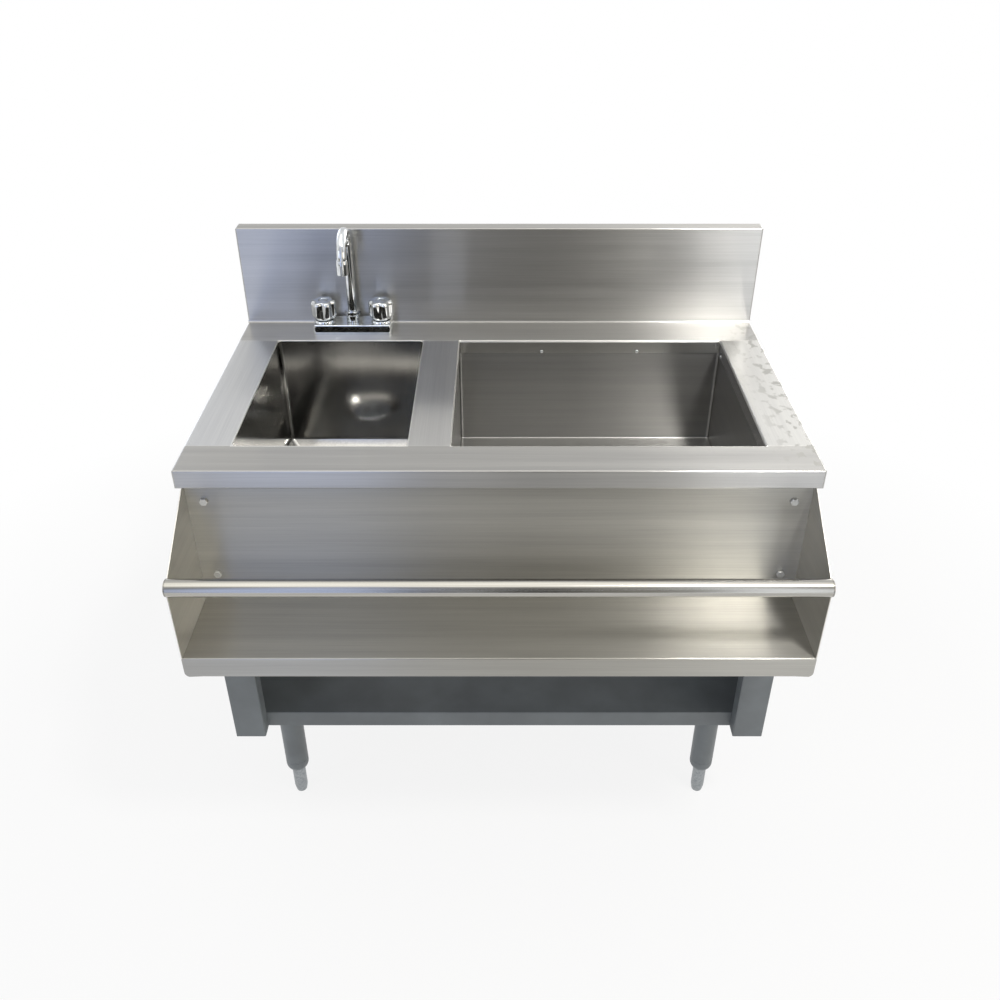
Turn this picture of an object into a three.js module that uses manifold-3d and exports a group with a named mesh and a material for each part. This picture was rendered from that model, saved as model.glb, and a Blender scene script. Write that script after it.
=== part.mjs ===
// Bartender's station: a stainless worktop with a hand sink, an ice bin and, along its front, a bottle rail.
// Millimetres, +Z up. +X runs along the worktop to the right, +Y towards the wall.
// The origin is on the floor, in the middle of the station's outline.
import * as THREE from 'three';
import { mergeVertices } from 'three/addons/utils/BufferGeometryUtils.js';
import Module from 'manifold-3d';

const wasm = await Module();
wasm.setup();

// ---------------------------------------------------------------- driving dimensions

const seat = 0.3; // clearance between two pieces that rest on or lie beside each other
const margin = 1; // how far a cutting solid runs past the faces it cuts

// worktop and backsplash
const deckSheet = 1.5;
const lipDrop = 30; // turned-down edge of the worktop, all round
const lipHem = 10; // front edge turned inwards at its foot
const sideMargin = 69.5; // worktop's side to the nearest opening
const rearMargin = 79; // openings to the backsplash
const land = 64; // worktop between the two openings
const splashRise = 175;
const splashThickness = 27; // front face to the hem behind it
const splashHem = 12;

// openings in the worktop
const openingLength = 356; // front to back
const sinkWidth = 254;
const binWidth = 457;

// sink bowl
const sinkDepth = 229; // worktop surface to the foot of the bowl's walls
const sinkSheet = 1.2;
const sinkCorner = 16; // radius of the upright corners
const sinkCove = 34; // radius where the walls meet the floor
const sinkRim = 10; // flange under the worktop
const sinkFall = 5; // the floor falls this far to the drain
const drainRecess = 3;
const drainRecessMargin = 4; // recess beyond the drain's flange

// sink drain
const drainFlangeRadius = 38;
const drainFlange = 1.7; // thickness
const drainPipeRadius = 24;
const drainWall = 3;
const drainPipe = 24; // length of the wide part, below the recess
const drainNeck = 31; // length of the narrow part below it
const strainerLedge = 4; // width of the ledge that carries the strainer
const strainerDrop = 8; // recess to the ledge
const strainerThickness = 1.5;
const strainerPostRadius = 3;
const strainerPost = 9; // height of the post under its knob
const strainerKnobRadius = 6;
const strainerKnob = 3.5; // height
const strainerHoleRadius = 2.2;
const strainerHoles = 6;
const gasketThickness = 3;
const gasketWidth = 9;
const drainNutHeight = 8;
const drainNutRim = 9; // across the nut's wall, bore to flat
const tailpieceLength = 120;
const tailpieceWall = 1.5;
const tailpieceGrip = 16; // length held inside the drain's neck

// ice bin
const binDepth = 199; // worktop surface to the bin's floor
const binFlangeDrop = 24; // opening's edge turned down into the bin
const binSheet = 1.2;
const binCorner = 3;
const insulation = 20;
const jacketSheet = 1;
const binStandoff = 10; // jacket behind the uprights' flanges
const binDrainRadius = 12.5;
const binDrainWall = 2;
const binDrainRim = 8; // flange on the bin's floor, beyond the pipe
const binDrainFlange = 2; // thickness
const binDrainTail = 28; // pipe below the jacket
const binDrainNutHeight = 8;
const binDrainNutRim = 5; // across the nut's wall, bore to flat

// rivets that hold the liner to the turned-down edge
const rivetRadius = 1.6;
const rivetHeadRadius = 3;
const rivetHead = 1.4;
const rivetRise = 3; // above the edge
const rivetSpacing = 168; // between the two at the back of the bin
const rivetSetback = 22; // the one at the right, ahead of the bin's back wall

// side panels and undershelf
const frameSetback = 32; // worktop's front edge to the uprights' front faces
const panelSheet = 1.5;
const flangeWidth = 51;
const flangeReturn = 25;
const rearFlange = 25;
const panelDrop = 567; // worktop surface to the foot of the panels
const shelfEdge = 32; // undershelf's turned-down edge, flush with the foot of the panels
const shelfSheet = 1.2;

// legs
const legLength = 172; // tube
const legRadius = 20.6;
const legWall = 1.5;
const legSideInset = 76; // worktop's side to the leg's axis
const legFrontInset = 57; // undershelf's front edge to the front legs' axes
const legRearInset = 100; // back of the station to the rear legs' axes
const legFlangeRadius = 42;
const legFlange = 3;
const legSocketWall = 2.5;
const legSocket = 20; // height
const collarHeight = 22; // rounded piece below the tube
const collarRounding = 13; // height of its rounded part
const collarGrip = 24; // length inside the tube
const footHeight = 65.6; // floor to the foot's shoulder
const footRadius = 12;
const footTipRadius = 9.5;
const footTaper = 14; // height of the tapered end
const stemRadius = 6;
const stemGrip = 19; // thread that stays in the collar
const footTravel = 25;

// bottle rail
const railReach = 108; // ahead of the worktop's front edge
const railDrop = 251; // worktop surface to the rail's shelf
const railSheet = 1.5;
const railLip = 36;
const railHem = 12;
const railLipCorner = 8; // rounded lower corners of the lip
const barRadius = 12.7;
const barWall = 1.5;
const barDrop = 123; // worktop surface to the bar's axis
const barInset = 4; // bar's axis behind the rail's front edge
const barCap = 1.5;
const barCapPlug = 6;
const endGap = 9; // end plates' upper corner below the worktop's lip
const boltRadius = 3;
const boltHeadWidth = 11; // across the flats
const boltHead = 4.5;
const boltThread = 9; // beyond the flange it clamps
const boltInset = 41; // upper bolts below the worktop's lip
const boltRise = 46; // lower bolts above the rail's shelf
const weldNutRadius = 6.5; // nut welded behind the flange
const weldNut = 5; // thickness

// faucet body
const faucetSetback = 31; // axis of the spout ahead of the backsplash
const valveSpacing = 101.6;
const coverEnd = 18.7; // cover beyond the valves' axes
const coverDepth = 47;
const coverHeight = 17;
const coverCorner = 5;
const coverBevel = 1.5;
const coverWall = 1.5;
const waterwayHeight = 10;
const waterwayDepth = 20;
const bossRadius = 12;
const socketFloor = 5; // waterway's metal under the spout
const shankRadius = 10.2;
const shankLength = 46; // below the worktop's surface
const locknutRim = 5.5; // across the nut's wall, bore to flat
const locknutHeight = 7;

// valves and knobs
const bonnetRadius = 9.5;
const bonnetRise = 4; // bonnet's height inside the knob
const skirtRadius = 19;
const skirtHeight = 4;
const skirtBevel = 1.5;
const knobGap = 2; // skirt to knob
const valveStemRadius = 5;
const knobRadius = 22;
const knobFlute = 4.5; // depth of the hollows between the lobes
const knobLobes = 6;
const knobHeight = 33;
const knobTopRadius = 15.5;
const knobShoulder = 7; // height of the rounded top
const knobFootRadius = 18;
const knobFootRise = 6; // height of the drawn-in foot
const knobWeb = 8; // metal between the stem and the cap
const knobCapRadius = 8;
const knobCapHeight = 2.4;
const knobCapBevel = 0.8;

// spout
const spoutRadius = 7.9;
const spoutArc = 34; // radius of the gooseneck's bend
const spoutRise = 155; // worktop surface to the bend's centre
const spoutNutRadius = 11.5; // round lower part
const spoutNutFoot = 13; // height of the round part
const spoutNutHex = 7; // height of the hexagon above it
const spoutNutRim = 3.9; // across the hexagon's wall, bore to flat
const aeratorLength = 25;
const aeratorWall = 1.6;
const aeratorBevel = 0.8;
const aeratorHead = 6; // height of the narrowed upper end
const aeratorGrip = 9; // length of the spout inside the aerator

// ---------------------------------------------------------------- places worked out from them

const width = 2 * sideMargin + sinkWidth + land + binWidth;
const half = width / 2;
const sinkX = -half + sideMargin + sinkWidth / 2;
const binX = half - sideMargin - binWidth / 2;

// liner, insulation and jacket stand this far outside the bin's opening
const linerInner = deckSheet + seat;
const insulationInner = linerInner + binSheet + seat;
const jacketInner = insulationInner + insulation + seat;
const frontMargin = frameSetback + panelSheet + binStandoff + jacketInner + jacketSheet;
const openingY = frontMargin + openingLength / 2;
const deckDepth = frontMargin + openingLength + rearMargin;
const backY = deckDepth + splashThickness;

const footTop = footHeight;
const collarFoot = footTop + seat;
const collarShoulder = collarFoot + collarHeight;
const legFoot = collarShoulder + seat;
const legTop = legFoot + legLength;
const legFlangeFoot = legTop + seat;
const legFlangeTop = legFlangeFoot + legFlange;
const shelfTop = legFlangeTop + seat + shelfSheet;
const panelFoot = shelfTop - shelfEdge;
const deckHeight = panelFoot + panelDrop;
const deckUnder = deckHeight - deckSheet;
const panelTop = deckUnder - seat;
const lipFoot = deckHeight - lipDrop;

const panelOuter = half - deckSheet - seat;
const panelInner = panelOuter - panelSheet;
const panelRear = backY - deckSheet - seat;
const shelfFront = frameSetback + flangeReturn + seat;

const binFloor = deckHeight - binDepth;
const insulationTop = binFloor - binSheet - seat;
const jacketTop = insulationTop - insulation - seat;
const jacketFoot = jacketTop - jacketSheet;

const railTop = deckHeight - railDrop;
const railBackRear = frameSetback - seat;
const railBackFront = railBackRear - railSheet;
const barY = -railReach + barInset;
const barZ = deckHeight - barDrop;

const frontMost = Math.min(-railReach, barY - barRadius);
const middleY = (frontMost + backY) / 2;

// ---------------------------------------------------------------- materials

function metal(name, color, metalness, roughness) {
  return new THREE.MeshStandardMaterial({ name, color, metalness, roughness });
}

const brushedSteel = metal('brushed_steel', 0xa9a8a4, 1, 0.35);
const galvanised = metal('galvanised_steel', 0x9a9ea1, 1, 0.5);
const chrome = metal('chrome', 0xe6e8ea, 1, 0.08);
const greyPaint = metal('grey_paint', 0x6c7174, 0.1, 0.5);
const brass = metal('brass', 0xb5964e, 1, 0.35);
const foam = metal('foam', 0xe8dfc0, 0, 0.9);
const rubber = metal('rubber', 0x1c1c1c, 0, 0.8);

// ---------------------------------------------------------------- solids

const cornerSteps = 4; // facets in a quarter turn of a rounded rectangle
const roundSides = 18; // facets round a tube, pipe or disc; the same on both sides of a fit
const smallSides = 10; // facets round a bolt or a rivet

// A geometry as a solid that can be joined and cut.
function solid(geometry) {
  const plain = geometry.index ? geometry.toNonIndexed() : geometry.clone();
  plain.deleteAttribute('normal');
  plain.deleteAttribute('uv');
  const merged = mergeVertices(plain, 1e-4);
  return new wasm.Manifold(
    new wasm.Mesh({
      numProp: 3,
      vertProperties: merged.attributes.position.array,
      triVerts: new Uint32Array(merged.index.array),
    }),
  );
}

// A solid as a named mesh, with no more triangles on its flat faces than they need.
function piece(name, material, body) {
  const { vertProperties, triVerts } = body.asOriginal().simplify().getMesh();
  const geometry = new THREE.BufferGeometry();
  geometry.setAttribute('position', new THREE.BufferAttribute(vertProperties, 3));
  geometry.setIndex(new THREE.BufferAttribute(triVerts, 1));
  geometry.computeVertexNormals();
  const mesh = new THREE.Mesh(geometry, material);
  mesh.name = name;
  return mesh;
}

function join(...bodies) {
  return bodies.reduce((sum, body) => sum.add(body));
}

function cut(body, ...tools) {
  return tools.reduce((rest, tool) => rest.subtract(tool), body);
}

// A box between exact faces, so that blocks that share a face join without a step.
function block(x, y, z) {
  const geometry = new THREE.BoxGeometry(1, 1, 1);
  const corners = geometry.attributes.position;
  const face = (range, place) => range[place < 0 ? 0 : 1];
  for (let i = 0; i < corners.count; i += 1) {
    corners.setXYZ(i, face(x, corners.getX(i)), face(y, corners.getY(i)), face(z, corners.getZ(i)));
  }
  return solid(geometry);
}

// Two distances from the middle as a range in X, on the left (-1) or the right (+1).
function onSide(side, near, far) {
  return side < 0 ? [-far, -near] : [near, far];
}

// Turned about the Z axis from a closed outline of [radius, z] points, anticlockwise, radius to the right.
function turned(outline, sides = roundSides) {
  const points = [...outline, outline[0]].map(([radius, z]) => new THREE.Vector2(radius, z));
  const geometry = new THREE.LatheGeometry(points, sides);
  geometry.rotateX(Math.PI / 2);
  return solid(geometry);
}

function rod(radius, [z0, z1], sides = roundSides) {
  return turned([[0, z0], [radius, z0], [radius, z1], [0, z1]], sides);
}

function ring(inner, outer, [z0, z1], sides = roundSides) {
  return turned([[inner, z0], [outer, z0], [outer, z1], [inner, z1]], sides);
}

// A hexagonal bar along Z with two flats facing -Y and +Y.
function hexagon(acrossFlats, range) {
  return rod(acrossFlats / Math.sqrt(3), range, 6).rotate([0, 0, 30]);
}

function hexNut(bore, rim, [z0, z1]) {
  const hole = rod(bore, [z0 - margin, z1 + margin]);
  return cut(hexagon(2 * (bore + rim), [z0, z1]), hole);
}

// Level rings about the Z axis, anticlockwise from above, all with the same number of points.
function rectangleRing(halfX, halfY, radius, z) {
  const corners = [[1, 1], [-1, 1], [-1, -1], [1, -1]];
  return corners.flatMap(([signX, signY], quarter) =>
    Array.from({ length: cornerSteps + 1 }, (_, step) => {
      const angle = ((quarter + step / cornerSteps) * Math.PI) / 2;
      return [
        signX * (halfX - radius) + radius * Math.cos(angle),
        signY * (halfY - radius) + radius * Math.sin(angle),
        z,
      ];
    }),
  );
}

function circleRing(radius, z) {
  const count = 4 * (cornerSteps + 1);
  return Array.from({ length: count }, (_, i) => {
    const angle = ((i + 0.5) / count) * 2 * Math.PI;
    return [radius * Math.cos(angle), radius * Math.sin(angle), z];
  });
}

// A solid through level rings, lowest first, with flat ends.
function stack(rings) {
  const count = rings[0].length;
  const lowest = rings.length * count;
  const highest = lowest + 1;
  const faces = [];
  for (let i = 0; i < count; i += 1) {
    const next = (i + 1) % count;
    for (let level = 0; level < rings.length - 1; level += 1) {
      const [a, b] = [level * count + i, level * count + next];
      faces.push(a, b, b + count, a, b + count, a + count);
    }
    const above = (rings.length - 1) * count;
    faces.push(lowest, next, i, highest, above + i, above + next);
  }
  const points = [...rings.flat(), [0, 0, rings[0][0][2]], [0, 0, rings.at(-1)[0][2]]];
  const geometry = new THREE.BufferGeometry();
  geometry.setAttribute('position', new THREE.Float32BufferAttribute(points.flat(), 3));
  geometry.setIndex(faces);
  return solid(geometry);
}

function roundedBlock(halfX, halfY, radius, [z0, z1]) {
  return stack([z0, z1].map((z) => rectangleRing(halfX, halfY, radius, z)));
}

// ---------------------------------------------------------------- worktop and backsplash

const faucetX = sinkX;
const faucetY = deckDepth - faucetSetback;

const rivetZ = deckHeight - binFlangeDrop + rivetRise;
const binBackY = openingY + openingLength / 2;
const rivets = [
  { name: 'bin_rivet_back_left', at: [binX - rivetSpacing / 2, binBackY], turn: 0 },
  { name: 'bin_rivet_back_right', at: [binX + rivetSpacing / 2, binBackY], turn: 0 },
  { name: 'bin_rivet_right', at: [binX + binWidth / 2, binBackY - rivetSetback], turn: -90 },
];

// A bar through the bin's wall at a rivet; its range counts outwards from the opening's face.
function throughBin(rivet, radius, range) {
  return rod(radius, range, smallSides)
    .rotate([-90, 0, 0])
    .rotate([0, 0, rivet.turn])
    .translate([...rivet.at, rivetZ]);
}

function rivetHole(rivet) {
  return throughBin(rivet, rivetRadius + seat, [-margin, linerInner + binSheet + margin]);
}

function makeWorktop() {
  const lipZ = [lipFoot, deckHeight];
  const through = [lipFoot, deckHeight + margin];
  const sides = [-1, 1].map((side) => block(onSide(side, half - deckSheet, half), [0, backY], lipZ));
  const binFlange = roundedBlock(
    binWidth / 2 + deckSheet,
    openingLength / 2 + deckSheet,
    binCorner + deckSheet,
    [deckHeight - binFlangeDrop, deckUnder],
  ).translate([binX, openingY, 0]);
  const sheet = join(
    block([-half, half], [0, backY], [deckUnder, deckHeight]),
    block([-half, half], [0, deckSheet], lipZ),
    block([-half, half], [0, lipHem], [lipFoot, lipFoot + deckSheet]),
    block([-half, half], [backY - deckSheet, backY], lipZ),
    ...sides,
    binFlange,
  );
  const binHole = roundedBlock(binWidth / 2, openingLength / 2, binCorner, through);
  const sinkHole = roundedBlock(sinkWidth / 2, openingLength / 2, sinkCorner, through);
  const shankHoles = [-1, 1].map((side) =>
    rod(shankRadius + seat, through).translate([faucetX + (side * valveSpacing) / 2, faucetY, 0]),
  );
  return piece(
    'worktop',
    brushedSteel,
    cut(
      sheet,
      binHole.translate([binX, openingY, 0]),
      sinkHole.translate([sinkX, openingY, 0]),
      ...shankHoles,
      ...rivets.map(rivetHole),
    ),
  );
}

function makeBacksplash() {
  const foot = deckHeight + seat;
  const top = deckHeight + splashRise;
  const across = [-half, half];
  const depth = [deckDepth, backY];
  const ends = [-1, 1].map((side) => block(onSide(side, half - deckSheet, half), depth, [foot, top]));
  return piece(
    'backsplash',
    brushedSteel,
    join(
      block(across, [deckDepth, deckDepth + deckSheet], [foot, top]),
      block(across, depth, [top - deckSheet, top]),
      block(across, [backY - deckSheet, backY], [top - splashHem, top]),
      ...ends,
    ),
  );
}

// ---------------------------------------------------------------- sink

const bowlTop = deckUnder - seat;
const bowlFloor = deckHeight - sinkDepth;
const recessTop = bowlFloor - sinkFall;
const recessFloor = recessTop - drainRecess;
const recessRadius = drainFlangeRadius + drainRecessMargin;

// Rings of the bowl's inner face (offset 0) or of its outer face (offset by the sheet), lowest first.
function bowlRings(offset, top) {
  const coveSteps = 5;
  const coveTop = bowlFloor + sinkCove;
  const coveRadius = sinkCove + offset;
  const halfX = sinkWidth / 2 + offset;
  const halfY = openingLength / 2 + offset;
  const cove = Array.from({ length: coveSteps + 1 }, (_, step) => {
    const angle = ((1 - step / coveSteps) * Math.PI) / 2;
    const inset = coveRadius * (1 - Math.cos(angle));
    const z = coveTop - coveRadius * Math.sin(angle);
    return rectangleRing(halfX - inset, halfY - inset, sinkCorner + offset, z);
  });
  return [
    circleRing(recessRadius - drainRecess + offset, recessFloor - offset),
    circleRing(recessRadius + offset, recessTop - offset),
    ...cove,
    rectangleRing(halfX, halfY, sinkCorner + offset, top),
  ];
}

function makeSinkBowl() {
  const rim = sinkSheet + sinkRim;
  const flange = roundedBlock(
    sinkWidth / 2 + rim,
    openingLength / 2 + rim,
    sinkCorner + rim,
    [bowlTop - sinkSheet, bowlTop],
  );
  const outside = stack(bowlRings(sinkSheet, bowlTop));
  const inside = stack(bowlRings(0, bowlTop + margin));
  const drainHole = rod(drainPipeRadius + seat, [recessFloor - sinkSheet - margin, bowlFloor]);
  return piece('sink_bowl', brushedSteel, cut(join(flange, outside), inside, drainHole));
}

// The drain's pieces stand on its axis, with z 0 on the recess in the bowl's floor.
const drainBore = drainPipeRadius - drainWall;
const ledgeRadius = drainBore - strainerLedge;
const gasketTop = -sinkSheet - seat;
const drainNutTop = gasketTop - gasketThickness - seat;
const neckFoot = -drainPipe - drainNeck;

function makeDrainFlange() {
  const top = seat + drainFlange;
  const body = turned([
    [ledgeRadius, neckFoot],
    [ledgeRadius + drainWall, neckFoot],
    [ledgeRadius + drainWall, -drainPipe],
    [drainPipeRadius, -drainPipe],
    [drainPipeRadius, seat],
    [drainFlangeRadius, seat],
    [drainFlangeRadius - drainFlange, top],
    [drainBore, top],
    [drainBore, -strainerDrop],
    [ledgeRadius, -strainerDrop],
  ]);
  return piece('sink_drain_flange', chrome, body);
}

function makeStrainer() {
  const foot = -strainerDrop + seat;
  const plateTop = foot + strainerThickness;
  const postTop = plateTop + strainerPost;
  const plateRadius = drainBore - seat;
  const plate = turned([
    [0, foot],
    [plateRadius, foot],
    [plateRadius, plateTop],
    [strainerPostRadius, plateTop],
    [strainerPostRadius, postTop],
    [strainerKnobRadius, postTop],
    [strainerKnobRadius, postTop + strainerKnob],
    [0, postTop + strainerKnob],
  ]);
  const pitch = (strainerPostRadius + plateRadius) / 2;
  const holes = Array.from({ length: strainerHoles }, (_, i) => {
    const hole = rod(strainerHoleRadius, [foot - margin, plateTop + margin], 8);
    return hole.translate([pitch, 0, 0]).rotate([0, 0, (i * 360) / strainerHoles]);
  });
  return piece('sink_strainer', chrome, cut(plate, ...holes));
}

function makeDrainGasket() {
  const inner = drainPipeRadius + seat;
  const height = [gasketTop - gasketThickness, gasketTop];
  return piece('sink_drain_gasket', rubber, ring(inner, inner + gasketWidth, height));
}

function makeDrainNut() {
  const height = [drainNutTop - drainNutHeight, drainNutTop];
  return piece('sink_drain_nut', brass, hexNut(drainPipeRadius + seat, drainNutRim, height));
}

function makeTailpiece() {
  const outer = ledgeRadius - seat;
  const top = neckFoot + tailpieceGrip;
  return piece('sink_tailpiece', chrome, ring(outer - tailpieceWall, outer, [top - tailpieceLength, top]));
}

function makeSink() {
  const drain = new THREE.Group();
  drain.position.z = recessFloor;
  drain.add(makeDrainFlange(), makeStrainer(), makeDrainGasket(), makeDrainNut(), makeTailpiece());
  const group = new THREE.Group();
  group.position.set(sinkX, openingY, 0);
  group.add(makeSinkBowl(), drain);
  return group;
}

// ---------------------------------------------------------------- ice bin

// An open tub round the bin: its inner face stands outside the opening, and a hole goes through its floor.
function tub(inner, wall, [foot, floor], hole) {
  const halfX = binWidth / 2 + inner;
  const halfY = openingLength / 2 + inner;
  const corner = binCorner + inner;
  const outside = roundedBlock(halfX + wall, halfY + wall, corner + wall, [foot, panelTop]);
  const inside = roundedBlock(halfX, halfY, corner, [floor, panelTop + margin]);
  const drainHole = rod(hole, [foot - margin, floor + margin]);
  return cut(outside, inside, drainHole).translate([binX, openingY, 0]);
}

function makeBinLiner() {
  const body = tub(linerInner, binSheet, [binFloor - binSheet, binFloor], binDrainRadius + seat);
  return piece('bin_liner', brushedSteel, cut(body, ...rivets.map(rivetHole)));
}

function makeInsulation() {
  const floor = [insulationTop - insulation, insulationTop];
  const body = tub(insulationInner, insulation, floor, binDrainRadius + seat);
  const pocketEnd = insulationInner + rivetHead + margin;
  const pockets = rivets.map((rivet) => throughBin(rivet, rivetHeadRadius + seat, [0, pocketEnd]));
  return piece('bin_insulation', foam, cut(body, ...pockets));
}

function makeJacket() {
  const body = tub(jacketInner, jacketSheet, [jacketFoot, jacketTop], binDrainRadius + seat);
  return piece('bin_jacket', galvanised, body);
}

function makeRivet(rivet) {
  const farSide = linerInner + binSheet + seat;
  const head = throughBin(rivet, rivetHeadRadius, [-seat - rivetHead, -seat]);
  const shank = throughBin(rivet, rivetRadius, [-seat, farSide]);
  const tail = throughBin(rivet, rivetHeadRadius, [farSide, farSide + rivetHead]);
  return piece(rivet.name, brushedSteel, join(head, shank, tail));
}

function makeBinDrain() {
  const inner = binDrainRadius - binDrainWall;
  const foot = jacketFoot - binDrainTail;
  const flangeFoot = binFloor + seat;
  const flangeTop = flangeFoot + binDrainFlange;
  const rim = binDrainRadius + binDrainRim;
  const body = turned([
    [inner, foot],
    [binDrainRadius, foot],
    [binDrainRadius, flangeFoot],
    [rim, flangeFoot],
    [rim - binDrainFlange / 2, flangeTop],
    [inner, flangeTop],
  ]);
  const nutTop = jacketFoot - seat;
  const nut = hexNut(binDrainRadius + seat, binDrainNutRim, [nutTop - binDrainNutHeight, nutTop]);
  const group = new THREE.Group();
  group.position.set(binX, openingY, 0);
  group.add(piece('bin_drain_fitting', brushedSteel, body), piece('bin_drain_nut', brass, nut));
  return group;
}

function makeIceBin() {
  const group = new THREE.Group();
  group.add(makeBinLiner(), makeInsulation(), makeJacket(), makeBinDrain(), ...rivets.map(makeRivet));
  return group;
}

// ---------------------------------------------------------------- side panels and undershelf

const boltX = panelOuter - flangeWidth / 2;
const bolts = [-1, 1].flatMap((side) => {
  const word = side < 0 ? 'left' : 'right';
  return [
    { name: `rail_bolt_upper_${word}`, side, z: lipFoot - boltInset },
    { name: `rail_bolt_lower_${word}`, side, z: railTop + boltRise },
  ];
});

// A solid that stands along Z is laid along +Y, from a given distance behind the worktop's front edge.
function atBolt(bolt, body, y) {
  return body.rotate([-90, 0, 0]).translate([bolt.side * boltX, y, bolt.z]);
}

function boltHole(bolt) {
  return atBolt(bolt, rod(boltRadius + seat, [0, 2 * frameSetback], smallSides), 0);
}

function makeSidePanel(name, side) {
  const flangeInner = panelOuter - flangeWidth;
  const flangeRear = frameSetback + panelSheet;
  const upright = [panelFoot, panelTop];
  const belowBin = [panelFoot, jacketFoot - binDrainTail];
  const ownBolts = bolts.filter((bolt) => bolt.side === side);
  const returned = onSide(side, flangeInner, flangeInner + panelSheet);
  const body = join(
    block(onSide(side, panelInner, panelOuter), [frameSetback, panelRear], upright),
    block(onSide(side, flangeInner, panelOuter), [frameSetback, flangeRear], upright),
    block(returned, [frameSetback, frameSetback + flangeReturn], belowBin),
    block(onSide(side, panelOuter - rearFlange, panelOuter), [panelRear - panelSheet, panelRear], upright),
    ...ownBolts.map((bolt) => atBolt(bolt, rod(weldNutRadius, [0, weldNut], smallSides), flangeRear)),
  );
  return piece(name, greyPaint, cut(body, ...ownBolts.map(boltHole)));
}

function makeUndershelf() {
  const reach = panelInner - seat;
  const rear = panelRear - panelSheet - seat;
  const pan = block([-reach, reach], [shelfFront, rear], [panelFoot, shelfTop]);
  const hollow = block(
    [-reach + shelfSheet, reach - shelfSheet],
    [shelfFront + shelfSheet, rear - shelfSheet],
    [panelFoot - margin, shelfTop - shelfSheet],
  );
  return piece('undershelf', greyPaint, cut(pan, hollow));
}

// ---------------------------------------------------------------- legs

const legPlaces = [
  { name: 'front_left', x: -half + legSideInset, y: shelfFront + legFrontInset },
  { name: 'front_right', x: half - legSideInset, y: shelfFront + legFrontInset },
  { name: 'rear_left', x: -half + legSideInset, y: backY - legRearInset },
  { name: 'rear_right', x: half - legSideInset, y: backY - legRearInset },
];

// A leg's pieces stand on its axis, with z 0 on the floor.
function makeLegFlange(name) {
  const socket = legRadius + seat;
  const socketFoot = legFlangeFoot - legSocket;
  const body = turned([
    [0, legFlangeFoot],
    [socket, legFlangeFoot],
    [socket, socketFoot],
    [socket + legSocketWall, socketFoot],
    [socket + legSocketWall, legFlangeFoot],
    [legFlangeRadius, legFlangeFoot],
    [legFlangeRadius, legFlangeTop],
    [0, legFlangeTop],
  ]);
  return piece(`leg_flange_${name}`, galvanised, body);
}

function makeCollar(name) {
  const roundingSteps = 3;
  const plug = legRadius - legWall - seat;
  const thread = stemRadius + seat;
  const top = legFoot + collarGrip;
  const rounding = Array.from({ length: roundingSteps + 1 }, (_, step) => {
    const angle = ((step / roundingSteps) * Math.PI) / 2;
    return [
      footRadius + (legRadius - footRadius) * Math.sin(angle),
      collarFoot + collarRounding * (1 - Math.cos(angle)),
    ];
  });
  const body = turned([
    [thread, collarFoot],
    ...rounding,
    [legRadius, collarShoulder],
    [plug, collarShoulder],
    [plug, top],
    [thread, top],
  ]);
  return piece(`leg_collar_${name}`, greyPaint, body);
}

function makeFoot(name) {
  const stemTop = footTop + footTravel + stemGrip;
  const body = turned([
    [0, 0],
    [footTipRadius, 0],
    [footRadius, footTaper],
    [footRadius, footTop],
    [stemRadius, footTop],
    [stemRadius, stemTop],
    [0, stemTop],
  ]);
  return piece(`foot_${name}`, galvanised, body);
}

function makeLeg({ name, x, y }) {
  const tube = ring(legRadius - legWall, legRadius, [legFoot, legTop]);
  const group = new THREE.Group();
  group.position.set(x, y, 0);
  group.add(
    makeLegFlange(name),
    piece(`leg_tube_${name}`, greyPaint, tube),
    makeCollar(name),
    makeFoot(name),
  );
  return group;
}

// ---------------------------------------------------------------- bottle rail

function makeRailBack() {
  const reach = half - deckSheet - seat;
  const body = block([-reach, reach], [railBackFront, railBackRear], [railTop - railSheet, panelTop]);
  return piece('rail_back_panel', brushedSteel, cut(body, ...bolts.map(boltHole)));
}

// The end plates stand on the ends of the shelf's lip, beside the shelf.
function makeRailShelf() {
  const lipBottom = railTop - railLip;
  const cornerZ = lipBottom + railLipCorner;
  const reach = half - railSheet - seat;
  const shoulder = railTop - railSheet - seat;
  const outline = new THREE.Shape();
  outline.moveTo(half, shoulder);
  outline.lineTo(reach, shoulder);
  outline.lineTo(reach, railTop);
  outline.lineTo(-reach, railTop);
  outline.lineTo(-reach, shoulder);
  outline.lineTo(-half, shoulder);
  outline.absarc(-half + railLipCorner, cornerZ, railLipCorner, Math.PI, 1.5 * Math.PI);
  outline.absarc(half - railLipCorner, cornerZ, railLipCorner, 1.5 * Math.PI, 2 * Math.PI);
  const lip = new THREE.ExtrudeGeometry(outline, { depth: railSheet, bevelEnabled: false, curveSegments: 3 });
  lip.rotateX(Math.PI / 2);
  lip.translate(0, railSheet - railReach, 0);
  const hemReach = half - railLipCorner;
  const insideLip = -railReach + railSheet / 2;
  const body = join(
    block([-reach, reach], [insideLip, railBackFront - seat], [railTop - railSheet, railTop]),
    solid(lip),
    block([-hemReach, hemReach], [insideLip, -railReach + railHem], [lipBottom, lipBottom + railSheet]),
  );
  return piece('rail_shelf', brushedSteel, body);
}

function makeRailEnd(name, side) {
  const foot = railTop - railSheet;
  const [x0, x1] = onSide(side, half - railSheet, half);
  const outline = new THREE.Shape();
  outline.moveTo(-railReach, foot);
  outline.lineTo(railBackRear, foot);
  outline.lineTo(railBackRear, lipFoot - endGap);
  outline.lineTo(-railReach, barZ);
  const plate = new THREE.ExtrudeGeometry(outline, { depth: railSheet, bevelEnabled: false });
  plate.rotateX(Math.PI / 2);
  plate.rotateZ(Math.PI / 2);
  plate.translate(x0, 0, 0);
  const notch = rod(barRadius + seat, [x0 - margin, x1 + margin]).rotate([0, 90, 0]);
  return piece(name, brushedSteel, cut(solid(plate), notch.translate([0, barY, barZ])));
}

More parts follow.
